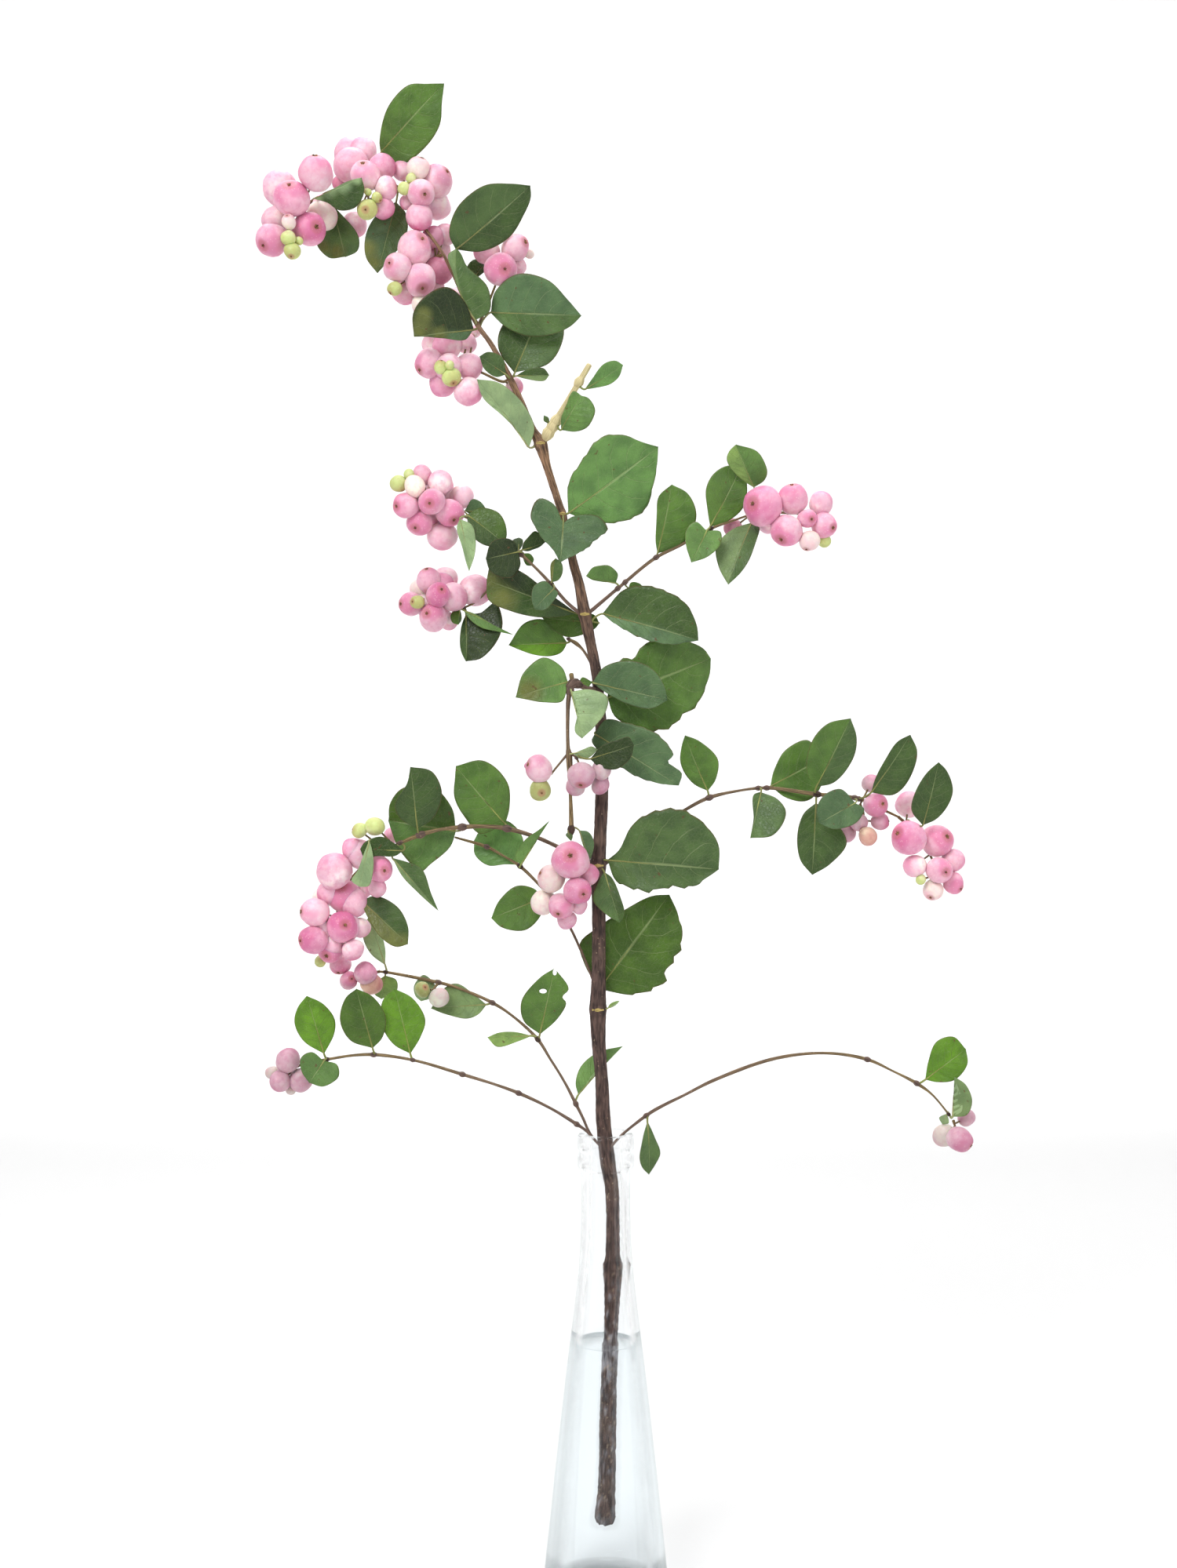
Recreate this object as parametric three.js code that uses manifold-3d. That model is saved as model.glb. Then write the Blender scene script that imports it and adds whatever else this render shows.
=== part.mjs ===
// Pink snowberry stem standing in a clear glass bottle vase.
// Millimetres, +Z up, +X to the viewer's right and -Y toward the viewer.
// The origin is the centre of the bottle's base.
import * as THREE from "three";
import { mergeVertices } from "three/addons/utils/BufferGeometryUtils.js";
import Module from "manifold-3d";

const wasm = await Module();
wasm.setup();

// Driving dimensions
const STEM_LENGTH = 700; // trade length of the cut stem, measured along its curve
const STEM_LENGTH_IN_PICTURE = 1918; // the same curve in picture pixels
const SCALE = STEM_LENGTH / STEM_LENGTH_IN_PICTURE; // mm per picture pixel at the stem
const VIEW_DISTANCE = 820; // from the viewer's eye to the stem
const EYE = { column: 750, row: 1000 }; // picture pixel straight ahead of the eye
const AXIS_COLUMN = 772; // picture column of the bottle's axis
const BASE_ROW = 2030; // picture row of the table under the stem
const MARGIN_POINTS = 3; // points a leaf's margin is thinned to, where the leaf asks for no more
const GAP = 0.35; // free space left between two neighbouring solids
const BLADE_THICKNESS = 0.62;
const PETIOLE_HALF_WIDTH = 0.55;
const LEAST_PETIOLE = 0.8; // a leaf that starts closer to the wood than this has no petiole
const LEAST_LEAN = 0.3; // below this the petiole runs square to its blade, and lies in the blade's face
const MARGIN_WAVES = 5; // radians of a wavy margin's ripple along the blade
const MARGIN_WAVE_START = 2;
const LEAST_TWIG_RADIUS = 0.7;
const BUNCH_STALK_RADIUS = 0.9;
const STALK_SIDES = 3;
const PUNCH_DEPTH = 20; // how far a hole is cut in front of the stem and behind it
const PUNCH_SIDES = 5;
const MERGE_DISTANCE = 1e-4; // corners closer than this are one corner
const RING_START = new THREE.Vector3(0, -1, 0.05); // where the first corner of a rod's rings points
const PRESS = 0.92; // pressed berries stand this share of their radii apart
const WATER_LEVEL = 116;
const BALL_ALLOWANCE = 1.06; // a faceted ball is drawn this much larger, to hold the round berry's volume
const SMALL_BALL_ALLOWANCE = 1.2;
const SMALL_BERRY_RADIUS = 4.7;
const LEAST_HOLD = 0.5; // mm3 that a berry must share with its bunch to hold on to it
const BOTTLE_SEGMENTS = 18;
const STEM_SIDES = 6;
const TWIG_SIDES = 4;

const EYE_POINT = new THREE.Vector3(
  (EYE.column - AXIS_COLUMN) * SCALE,
  -VIEW_DISTANCE,
  (BASE_ROW - EYE.row) * SCALE,
);

// A picture column and row, at a depth in mm in front of the stem, as a point of the model.
function at([column, row, depth]) {
  const size = (SCALE * (VIEW_DISTANCE - depth)) / VIEW_DISTANCE;
  return new THREE.Vector3(
    EYE_POINT.x + (column - EYE.column) * size,
    -depth,
    EYE_POINT.z + (EYE.row - row) * size,
  );
}

// Solids: a closed geometry as a solid, and back
function solidOf(geometry) {
  const bare = geometry.index ? geometry.toNonIndexed() : geometry.clone();
  bare.deleteAttribute("normal");
  bare.deleteAttribute("uv");
  const merged = mergeVertices(bare, MERGE_DISTANCE);
  const mesh = new wasm.Mesh({
    numProp: 3,
    vertProperties: merged.attributes.position.array,
    triVerts: new Uint32Array(merged.index.array),
  });
  return new wasm.Manifold(mesh);
}

function geometryOf(solid) {
  const mesh = solid.getMesh();
  const positions = new Float32Array(mesh.numVert * 3);
  for (let i = 0; i < mesh.numVert; i++) {
    const start = i * mesh.numProp;
    positions.set(mesh.vertProperties.subarray(start, start + 3), i * 3);
  }
  const geometry = new THREE.BufferGeometry();
  geometry.setAttribute("position", new THREE.BufferAttribute(positions, 3));
  geometry.setIndex(new THREE.BufferAttribute(mesh.triVerts, 1));
  geometry.computeVertexNormals();
  return geometry;
}

// The largest body of a solid, without the crumbs that a cut may leave.
function largest(solid) {
  return solid.decompose().reduce((best, body) => (body.volume() > best.volume() ? body : best));
}

const joined = (solids) => solids.reduce((whole, solid) => whole.add(solid));

function fromTriangles(points, triangles) {
  const geometry = new THREE.BufferGeometry().setFromPoints(points);
  geometry.setIndex(triangles);
  return geometry;
}

// A closed skin over rings of equally many points, flat at both ends.
function skin(rings) {
  const sides = rings[0].length;
  const triangles = [];
  for (let r = 0; r + 1 < rings.length; r++) {
    for (let s = 0; s < sides; s++) {
      const a = r * sides + s;
      const b = r * sides + ((s + 1) % sides);
      triangles.push(a, b, b + sides, a, b + sides, a + sides);
    }
  }
  const last = (rings.length - 1) * sides;
  for (let s = 1; s + 1 < sides; s++) {
    triangles.push(0, s + 1, s);
    triangles.push(last, last + s, last + s + 1);
  }
  return fromTriangles(rings.flat(), triangles);
}

// A tapered round rod through points, with a radius at each.
function rod(points, radii, sides, grow = 0) {
  const across = RING_START.clone();
  const rings = points.map((point, i) => {
    const before = points[Math.max(i - 1, 0)];
    const after = points[Math.min(i + 1, points.length - 1)];
    const along = after.clone().sub(before).normalize();
    across.addScaledVector(along, -across.dot(along)).normalize();
    const side = along.clone().cross(across);
    const radius = radii[i] + grow;
    return Array.from({ length: sides }, (_, s) => {
      const angle = (2 * Math.PI * s) / sides;
      return point
        .clone()
        .addScaledVector(across, radius * Math.cos(angle))
        .addScaledVector(side, radius * Math.sin(angle));
    });
  });
  return solidOf(skin(rings));
}

// A route of [column, row, width in pixels, depth] as a rod; grow makes the free space around it.
function twig(route, sides = TWIG_SIDES, grow = 0, least = LEAST_TWIG_RADIUS) {
  const points = route.map(([column, row, , depth]) => at([column, row, depth]));
  const radii = route.map(([, , width]) => Math.max((width * SCALE) / 2, least));
  if (grow > 0) {
    const start = points[0].clone().sub(points[1]).normalize();
    const end = points.at(-1).clone().sub(points.at(-2)).normalize();
    points[0].addScaledVector(start, grow);
    points[points.length - 1].addScaledVector(end, grow);
  }
  return rod(points, radii, sides, grow);
}

// A berry as a faceted ball, with fewer faces on the small ones.
function ball(centre, radius) {
  const small = radius < SMALL_BERRY_RADIUS;
  const geometry = small
    ? new THREE.OctahedronGeometry(radius * SMALL_BALL_ALLOWANCE, 0)
    : new THREE.IcosahedronGeometry(radius * BALL_ALLOWANCE, 0);
  geometry.rotateZ(centre.x).rotateX(centre.z);
  geometry.translate(centre.x, centre.y, centre.z);
  return solidOf(geometry);
}

// Leaf blades
// A leaf is { root, base, tip, edges: [[...], [...]], roll, fold, curl, bow, wave, most }.
// root is where the stalk starts, base and tip end the midrib, edges are the two margins from base to tip
// as picture pixels. roll turns the blade about its midrib, fold and curl bend it.
function leafFrame({ base, tip, roll = 0 }) {
  const start = at(base);
  const end = at(tip);
  const along = end.clone().sub(start);
  const length = along.length();
  along.normalize();
  const middle = start.clone().add(end).multiplyScalar(0.5);
  const sight = EYE_POINT.clone().sub(middle).normalize();
  const across = along.clone().cross(sight).normalize();
  across.applyAxisAngle(along, -THREE.MathUtils.degToRad(roll));
  const normal = across.clone().cross(along);
  return { start, end, along, across, normal, length };
}

// Where the line of sight through a pixel meets the leaf's plane: share along the midrib, mm across.
function onLeaf(frame, [column, row]) {
  const ray = at([column, row, 0]).sub(EYE_POINT);
  const reach = frame.start.clone().sub(EYE_POINT).dot(frame.normal) / ray.dot(frame.normal);
  const offset = EYE_POINT.clone().addScaledVector(ray, reach).sub(frame.start);
  return [offset.dot(frame.along) / frame.length, offset.dot(frame.across)];
}

function bladePoint(frame, leaf, share, across, widest) {
  const { fold = 0.1, curl = 0.04, wave = 0 } = leaf;
  const within = THREE.MathUtils.clamp(share, 0, 1);
  const arch = 4 * within * (1 - within) * curl * frame.length;
  const side = Math.abs(across);
  const swing = Math.sin(MARGIN_WAVES * share + MARGIN_WAVE_START);
  const ripple = wave * swing * (side / widest) ** 2 * Math.sign(across);
  return frame.start
    .clone()
    .addScaledVector(frame.along, share * frame.length)
    .addScaledVector(frame.across, across)
    .addScaledVector(frame.normal, side * fold + ripple + arch);
}

function thinned(margin, most) {
  if (margin.length <= most) return margin;
  return Array.from({ length: most }, (_, i) => {
    return margin[Math.round(((i + 0.5) * margin.length) / most - 0.5)];
  });
}

// A margin stretched or thinned to a count of points, spread evenly over its own points.
function stretched(margin, count) {
  return Array.from({ length: count }, (_, i) => {
    const place = count > 1 ? (i * (margin.length - 1)) / (count - 1) : 0;
    const from = Math.floor(place);
    const to = Math.min(from + 1, margin.length - 1);
    const share = place - from;
    return [0, 1].map((k) => margin[from][k] * (1 - share) + margin[to][k] * share);
  });
}

// The two margins of a leaf in its own plane, the lower side first, with equally many points.
function marginsOf(leaf, frame) {
  const { most = MARGIN_POINTS, edges } = leaf;
  const count = Math.min(most, Math.max(edges[0].length, edges[1].length));
  const margins = edges.map((edge) => thinned(edge, count).map((p) => onLeaf(frame, p)));
  const lean = (margin) => margin.reduce((sum, p) => sum + p[1], 0);
  margins.sort((a, b) => lean(a) - lean(b));
  const longest = Math.max(margins[0].length, margins[1].length);
  return margins.map((margin) => stretched(margin, longest));
}

// A leaf as one plate: its petiole, then rows of margin, midrib and margin, then the tip.
function blade(leaf) {
  const frame = leafFrame(leaf);
  const { bow = 0 } = leaf;
  const [low, high] = marginsOf(leaf, frame);
  const widest = Math.max(...low.concat(high).map((p) => Math.abs(p[1])), 1);
  const rows = [];
  const normals = [];
  const pointAt = (share, across) => bladePoint(frame, leaf, share, across, widest);
  const neck = [-PETIOLE_HALF_WIDTH, 0, PETIOLE_HALF_WIDTH].map((x) => pointAt(0, x));
  const rootPoint = leaf.root && at(leaf.root);
  if (rootPoint && rootPoint.distanceTo(frame.start) > LEAST_PETIOLE) {
    const stalk = frame.start.clone().sub(rootPoint).normalize();
    let side = frame.across.clone().addScaledVector(stalk, -frame.across.dot(stalk));
    if (side.length() < LEAST_LEAN) side = stalk.clone().cross(frame.normal);
    side.normalize();
    const up = side.clone().cross(stalk).normalize();
    rows.push([-1, 0, 1].map((x) => rootPoint.clone().addScaledVector(side, x * PETIOLE_HALF_WIDTH)));
    normals.push(up);
    normals.push(up.clone().add(frame.normal).normalize());
  } else {
    normals.push(frame.normal);
  }
  rows.push(neck);
  for (let i = 0; i < low.length; i++) {
    const share = (i + 1) / (low.length + 1);
    const middle = bow * SCALE * 4 * share * (1 - share);
    rows.push([pointAt(...low[i]), pointAt(share, middle), pointAt(...high[i])]);
    normals.push(frame.normal);
  }
  const points = [];
  for (const lift of [BLADE_THICKNESS / 2, -BLADE_THICKNESS / 2]) {
    rows.forEach((row, r) => {
      row.forEach((p) => points.push(p.clone().addScaledVector(normals[r], lift)));
    });
    points.push(frame.end.clone().addScaledVector(frame.normal, lift));
  }
  return solidOf(fromTriangles(points, plateTriangles(rows.length)));
}

// Triangles of a plate with three points a row and one at the tip, alike on both faces.
function plateTriangles(rows) {
  const under = rows * 3 + 1;
  const tip = rows * 3;
  const faces = [];
  for (let r = 0; r + 1 < rows; r++) {
    for (let c = 0; c < 2; c++) {
      const a = r * 3 + c;
      faces.push([a, a + 1, a + 4], [a, a + 4, a + 3]);
    }
  }
  const last = (rows - 1) * 3;
  faces.push([last, last + 1, tip], [last + 1, last + 2, tip]);
  const rim = [0, 1, 2];
  for (let r = 1; r < rows; r++) rim.push(r * 3 + 2);
  rim.push(tip);
  for (let r = rows - 1; r > 0; r--) rim.push(r * 3);
  const triangles = [];
  for (const [a, b, c] of faces) {
    triangles.push(a, b, c);
    triangles.push(a + under, c + under, b + under);
  }
  rim.forEach((a, i) => {
    const b = rim[(i + 1) % rim.length];
    triangles.push(b, a, a + under, b, a + under, b + under);
  });
  return triangles;
}

// Short form of one leaf: stalk start, base, tip, two margins and how it bends.
function leaf(root, base, tip, left, right, bends = {}) {
  return { root, base, tip, edges: [left, right], ...bends };
}

// Berry bunches
// A bunch is { front, stalk: a route of two points, berries: [column, row, diameter in pixels, depth] }.
// Berries are listed front to back. Each has its own depth where it is given, and otherwise sits at the
// front depth, or behind the ones that it is pressed against.
function settled({ front, berries }) {
  const placed = [];
  for (const [column, row, across, depth] of berries) {
    const radius = (across * SCALE) / 2;
    let deep = depth ?? front;
    for (const other of placed) {
      const flat = Math.hypot(column - other.column, row - other.row) * SCALE;
      const reach = PRESS * (radius + other.radius);
      if (depth === undefined && flat < reach) {
        deep = Math.min(deep, other.deep - Math.sqrt(reach * reach - flat * flat));
      }
    }
    placed.push({ column, row, radius, deep, centre: at([column, row, deep]) });
  }
  return placed;
}

// The point of a straight stalk that lies nearest to a berry.
function nearestOn([start, end], target) {
  return new THREE.Line3(start, end).closestPointToPoint(target, true, new THREE.Vector3());
}

// A bunch as one body: a berry that touches nothing yet gets a short stalk to its nearest neighbour.
function bunch(spec) {
  const stalkPoints = spec.stalk.map(([column, row, , depth]) => at([column, row, depth]));
  let whole = twig(spec.stalk, STALK_SIDES, 0, BUNCH_STALK_RADIUS);
  const held = [];
  for (const berry of settled(spec)) {
    const round = ball(berry.centre, berry.radius);
    if (whole.intersect(round).volume() < LEAST_HOLD) {
      const feet = held.map((other) => other.centre);
      feet.push(nearestOn(stalkPoints, berry.centre));
      feet.sort((a, b) => a.distanceTo(berry.centre) - b.distanceTo(berry.centre));
      const radii = [BUNCH_STALK_RADIUS, BUNCH_STALK_RADIUS];
      whole = whole.add(rod([feet[0], berry.centre], radii, STALK_SIDES));
    }
    whole = whole.add(round);
    held.push(berry);
  }
  return whole;
}

// Routes of the woody stem and the twigs: [column, row, width in pixels, depth]
const STEM = [
  [771, 1939, 17, 0], [771, 1930, 20, 0], [773, 1900, 18, 0], [775, 1800, 17, 0], [776, 1760, 16, 0],
  [778, 1710, 17, 0], [780, 1660, 18, 0], [781, 1618, 23, 0], [781, 1600, 18, 0], [780, 1518, 17, 0],
  [775, 1485, 18.5, 0], [769, 1430, 18, 0], [767, 1380, 16, 0], [763, 1330, 17, 0], [762, 1287, 20, 0],
  [763, 1240, 17, 0], [763, 1150, 17, 0], [762, 1105, 19, 0], [764, 1080, 16.5, 0], [767, 1010, 16, 0],
  [767, 950, 15, 0], [764, 900, 14, 0], [760, 858, 13, 0], [753, 822, 13, 0], [745, 783, 15, 0],
  [738, 745, 12, 0], [731, 720, 11, 0], [718, 660, 9, 0], [713, 645, 9, 0], [697, 595, 10, 1],
  [689, 567, 15, 1], [679, 548, 9, 1], [665, 515, 8, 2], [650, 483, 8, 2], [625, 438, 6, 2],
  [609, 416, 6, 2], [595, 390, 5, 2], [578, 350, 5, 3], [562, 320, 4, 4], [541, 291, 4, 2],
  [530, 270, 4, -3], [515, 248, 4, -8], [495, 232, 4, -10], [465, 232, 4, -10], [435, 240, 4, -9],
  [410, 250, 4, -8], [388, 265, 4, -7], [376, 285, 4, -6],
];

// Leafy twigs: routes of the wood, joined, and the leaves that grow on them
const TWIGS = {
  peeled_stub: {
    tone: "peeled",
    routes: [[[690, 566, 9, 1], [699, 553, 11, 3], [712, 532, 10, 5], [732, 498, 9, 7], [751, 466, 8, 9]]],
    leaves: [
      leaf([739, 488, 8], [745, 497, 9], [794, 466, 14], [[755, 482], [770, 463], [784, 460]],
        [[762, 494], [778, 489], [789, 480]], { roll: -15 }),
      leaf([711, 540, 5], [715, 549, 8], [741, 505, 12], [[716, 533], [723, 515], [731, 499]],
        [[735, 551], [751, 544], [759, 524], [750, 508]], { roll: 12 }),
      leaf([705, 545, 4], [700, 541, 5], [693, 530, 7], [[693, 537]], [[699, 533]]),
    ],
  },
  twig_left_forked: {
    tone: "bark",
    routes: [
      [[742, 785, 6, 0], [722, 768, 5, 2], [703, 746, 5, 4], [680, 722, 4, 4], [662, 706, 5, 4],
        [636, 688, 3, 1], [606, 662, 3, 2]],
      [[662, 706, 4, 4], [642, 730, 3, 1], [606, 768, 3, -6], [590, 776, 3, -7]],
    ],
    leaves: [
      leaf([703, 746, 4], [703, 743, 5], [708, 712, 8], [[702, 735], [703, 718]],
        [[712, 740], [718, 730], [716, 718]], { roll: 20 }),
      leaf([702, 746, 4], [706, 751, 7], [681, 777, 12], [[694, 742], [680, 749], [677, 764]],
        [[711, 757], [705, 768], [694, 779]], { roll: -10 }),
      leaf([663, 706, 4], [661, 704, 7], [619, 713, 13], [[655, 692], [640, 687], [624, 693]],
        [[662, 722], [650, 737], [634, 736], [623, 728]], { fold: 0.2 }),
      leaf([663, 705, 4], [665, 702, 4], [695, 692, 0], [[668, 690], [681, 677], [690, 685]],
        [[672, 703], [686, 698]], { roll: -20 }),
      leaf([664, 706, 4], [667, 706, 3], [677, 722, -1], [[667, 714], [671, 721]],
        [[675, 706], [680, 713]]),
      leaf([662, 705, 4], [661, 703, 3], [661, 686, 0], [[652, 698], [654, 689]], [[666, 696], [666, 689]]),
      leaf([606, 662, 2], [595, 657, 3], [643, 694, 7], [[612, 650], [633, 655], [643, 668], [646, 682]],
        [[597, 672], [606, 691], [621, 698], [634, 697]], { roll: 20, fold: 0.15 }),
      leaf([606, 662, 2], [592, 652, -2], [622, 653, -3], [[602, 637], [612, 640]],
        [[604, 658], [614, 657]]),
      leaf([600, 660, 2], [586, 662, 8], [598, 729, 12], [[581, 675], [587, 698], [592, 714]],
        [[599, 671], [604, 690], [603, 710]], { roll: 25, tone: "pale", fold: 0.3 }),
      leaf([590, 776, -7], [590, 778, -4], [655, 810, -2], [[605, 783], [622, 793], [640, 803]],
        [[600, 791], [614, 801], [635, 806]], { tone: "pale", fold: 0.3 }),
      leaf([592, 776, -7], [594, 783, -8], [594, 844, -4], [[588, 800], [586, 820], [588, 833]],
        [[615, 782], [631, 771], [640, 792], [637, 814], [614, 841]], { fold: 0.25, most: 5 }),
      leaf([590, 776, -7], [586, 778, -4], [584, 797, 0], [[579, 780], [574, 787], [577, 795]],
        [[588, 784], [588, 792]], { tone: "olive" }),
    ],
  },
  twig_left_small: {
    tone: "bark",
    routes: [[[756, 850, 5, -1], [742, 828, 4, -5], [733, 820, 6, -7], [724, 815, 3, -9]]],
    leaves: [
      leaf([725, 816, -9], [723, 820, -10], [648, 823, -12], [[710, 801], [692, 790], [669, 795]],
        [[716, 832], [702, 837], [680, 835], [665, 830]], { tone: "bright", fold: 0.12 }),
    ],
  },
  twig_right_upper: {
    tone: "bark",
    routes: [[[749, 783, 6, 0], [787, 751, 5, 3], [835, 712, 5, 6], [865, 697, 4, 8], [905, 675, 4, 8],
      [935, 664, 3, 5], [955, 657, 3, 2]]],
    leaves: [
      leaf([787, 751, 3], [785, 744, 4], [747, 735, 8], [[787, 731], [775, 720], [757, 722]],
        [[775, 742], [757, 740]], { roll: 25 }),
      leaf([797, 743, 3.6], [801, 750, -1], [820, 749, -3], [[804, 743], [814, 744]],
        [[808, 753], [816, 752]],
        { tone: "bright" }),
      leaf([837, 711, 6], [838, 706, 6], [856, 618, 10], [[835, 688], [836, 655], [839, 633]],
        [[858, 700], [877, 684], [886, 658], [876, 630]], { roll: -12, tone: "bright" }),
      leaf([905, 675, 8], [901, 677, 11], [881, 718, 16], [[886, 667], [873, 680], [874, 700]],
        [[917, 680], [917, 697], [903, 711]], { fold: 0.25 }),
      leaf([905, 675, 8], [905, 672, 6], [944, 596, 0], [[901, 652], [897, 625], [907, 606], [925, 595]],
        [[924, 667], [946, 647], [950, 618]], { roll: -15, tone: "bright" }),
      leaf([955, 658, 2], [961, 622, 4], [938, 567, 9], [[944, 610], [927, 586], [930, 575]],
        [[975, 612], [979, 598], [966, 575]], { fold: 0.2, roll: 15 }),
      leaf([956, 659, 2], [958, 667, 4], [928, 746, 12], [[932, 680], [915, 700], [917, 726]],
        [[968, 673], [961, 705], [946, 732]], { fold: 0.2, roll: -20 }),
    ],
  },
  twig_right_middle: {
    tone: "bark",
    routes: [[[764, 1107, 6, 0], [791, 1087, 5, -2], [830, 1060, 5, -7], [873, 1033, 5, -6],
      [902, 1018, 6, -4], [939, 1009, 4, -1], [977, 1005, 5, 1], [1040, 1013, 6, 4], [1091, 1018, 5, 5],
      [1130, 1035, 4, 4], [1147, 1043, 3, 3]]],
    leaves: [
      leaf([902, 1018, -4], [902, 1009, -3], [873, 938, 0], [[884, 999], [868, 972], [869, 952]],
        [[913, 993], [916, 968], [893, 945]], { roll: 15, tone: "bright" }),
      leaf([979, 1005, 1], [982, 1003, 0], [1046, 968, -8], [[985, 983], [1000, 957], [1030, 945]],
        [[1000, 1018], [1028, 1022], [1048, 995]], { tone: "backlit" }),
      leaf([1040, 1013, 4], [1040, 1004, 6], [1084, 916, 13], [[1028, 985], [1032, 947], [1054, 922]],
        [[1062, 997], [1086, 967], [1091, 940]], { fold: 0.2, roll: -10 }),
      leaf([968, 1006, 0], [970, 1010, 4], [956, 1069, 10], [[960, 1015], [960, 1045]],
        [[990, 1020], [1001, 1040], [985, 1067]], { fold: 0.2 }),
      leaf([1040, 1015, 4], [1040, 1024, 5], [1035, 1116, 6], [[1024, 1038], [1016, 1066], [1020, 1097]],
        [[1062, 1045], [1079, 1075], [1058, 1102]], { fold: 0.15, tone: "bright" }),
      leaf([1089, 1019, 5], [1090, 1024, 15], [1044, 1050, 17], [[1070, 1007], [1049, 1015], [1040, 1032]],
        [[1101, 1032], [1090, 1050], [1062, 1058]], { fold: 0.15, tone: "grey" }),
      leaf([1094, 1019, 5], [1110, 1011, 13], [1160, 937, 18], [[1115, 993], [1127, 968], [1143, 946]],
        [[1138, 1013], [1160, 988], [1168, 958]], { roll: -15 }),
    ],
  },
  twig_drooping: {
    tone: "bark",
    routes: [
      [[760, 880, 6, 1], [745, 877, 5, 6], [730, 872, 8, 9], [725, 888, 5, 10], [724, 955, 5, 11],
        [725, 961, 7, 11], [727, 1013, 4, 10], [728, 1057, 5, 9], [727, 1070, 4, 9]],
      [[730, 874, 7, 9], [728, 860, 7, 9]],
      [[724, 961, 4, 11], [709, 979, 3, 12], [702, 988, 3, 11]],
      [[726, 961, 4, 11], [734, 966, 3, 13], [738, 974, 3, 13]],
    ],
    leaves: [
      leaf([728, 872, 9], [724, 870, 9], [657, 890, 13], [[716, 852], [692, 842], [667, 860]],
        [[716, 896], [693, 898], [672, 893]], { fold: 0.2, roll: -15 }),
      leaf([735, 873, 8], [737, 872, 6], [755, 870, 5], [[742, 864]], [[745, 881]]),
      leaf([727, 880, 10], [728, 882, 12], [742, 942, 16], [[733, 895], [736, 910], [733, 934]],
        [[752, 880], [775, 892], [772, 910], [757, 929]], { tone: "pale", fold: 0.2 }),
      leaf([727, 962, 11], [731, 961, 13], [762, 956, 14], [[745, 955], [754, 952]],
        [[737, 967], [745, 968], [753, 965]], { tone: "pale" }),
      leaf([737, 964, 14], [752, 968, 18], [808, 950, 20], [[768, 951], [787, 944], [801, 940]],
        [[764, 978], [786, 981], [804, 966]], { fold: 0.15 }),
      leaf([728, 1057, 9], [738, 1059, 9], [752, 1097, 8], [[741, 1072], [746, 1086]],
        [[750, 1061], [757, 1074], [755, 1088]]),
      leaf([727, 1057, 9], [724, 1061, 10], [728, 1073, 11], [[721, 1065]], [[730, 1066]]),
    ],
  },
  twig_left_thick: {
    tone: "bark",
    routes: [[[758, 1103, 7, -1], [745, 1095, 6, -4], [711, 1080, 6, -5], [684, 1068, 6, -4],
      [647, 1057, 7, -2], [617, 1054, 6, -1], [589, 1055, 7, 0], [561, 1058, 5, 1], [535, 1065, 7, 2],
      [508, 1076, 4, 2]]],
    leaves: [
      leaf([588, 1057, -1], [581, 1060, -4], [495, 1046, -6],
        [[577, 1030], [555, 1004], [515, 1004], [497, 1025]],
        [[574, 1080], [550, 1101], [538, 1110], [512, 1086], [500, 1060]],
        { tone: "bright", roll: 10, most: 5 }),
      leaf([534, 1063, 2], [532, 1057, 4], [523, 978, 8], [[510, 1043], [503, 1026], [519, 998]],
        [[552, 1043], [563, 1010], [550, 983]], { fold: 0.2 }),
      leaf([647, 1056, -2], [644, 1051, -5], [581, 977, -6],
        [[612, 1063], [594, 1042], [580, 1015], [580, 992]],
        [[650, 1028], [648, 998], [617, 970]], { roll: 10, wave: 1 }),
      leaf([509, 1076, 2], [500, 1094, 6], [559, 1162, 10], [[513, 1118], [532, 1138], [546, 1151]],
        [[522, 1101], [539, 1110], [550, 1140]], { fold: 0.3 }),
      leaf([512, 1075, 2], [514, 1085, 6], [459, 1083, 9], [[503, 1092], [480, 1092], [465, 1095]],
        [[502, 1075], [485, 1067], [465, 1074]], { fold: 0.1 }),
      leaf([474, 1078, 8], [471, 1071, 9], [458, 1131, 12], [[464, 1088], [456, 1110], [448, 1123]],
        [[476, 1095], [475, 1115], [470, 1130]], { tone: "pale" }),
    ],
  },
  twig_left_thin: {
    tone: "bark",
    routes: [[[761, 1264, 5, 0], [752, 1240, 4, -1], [738, 1207, 4, -2], [726, 1182, 4, -3],
      [710, 1158, 4, -6], [692, 1134, 4, -7], [663, 1105, 5, -8], [644, 1093, 3, -9], [620, 1080, 5, -11],
      [580, 1068, 3, -12]]],
    leaves: [
      leaf([663, 1105, -8], [664, 1103, -4], [701, 1046, 4], [[657, 1094], [670, 1070], [688, 1057]],
        [[669, 1085], [680, 1067]], { tone: "grey" }),
      leaf([663, 1105, -8], [660, 1103, -11], [604, 1072, -17], [[645, 1103], [622, 1104], [606, 1090]],
        [[668, 1072], [648, 1048], [615, 1056]], { tone: "backlit" }),
      leaf([702, 1147, -6], [692, 1145, -6], [626, 1171, -5], [[680, 1133], [658, 1130], [636, 1149]],
        [[690, 1166], [670, 1186], [640, 1183]], { tone: "bright", fold: 0.15 }),
    ],
  },
  twigs_low_left: {
    tone: "bark",
    routes: [
      [[772, 1495, 4, 0], [762, 1474, 4, 2], [756, 1453, 4, 3], [753, 1438, 4, 3], [734, 1408, 5, 1],
        [719, 1379, 4, -1], [701, 1350, 4, -3], [685, 1325, 5, -4], [651, 1294, 4, -6],
        [626, 1278, 5, -7], [584, 1260, 4, -9], [559, 1253, 5, -10], [493, 1240, 4, -12],
        [482, 1239, 3, -12]],
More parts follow.
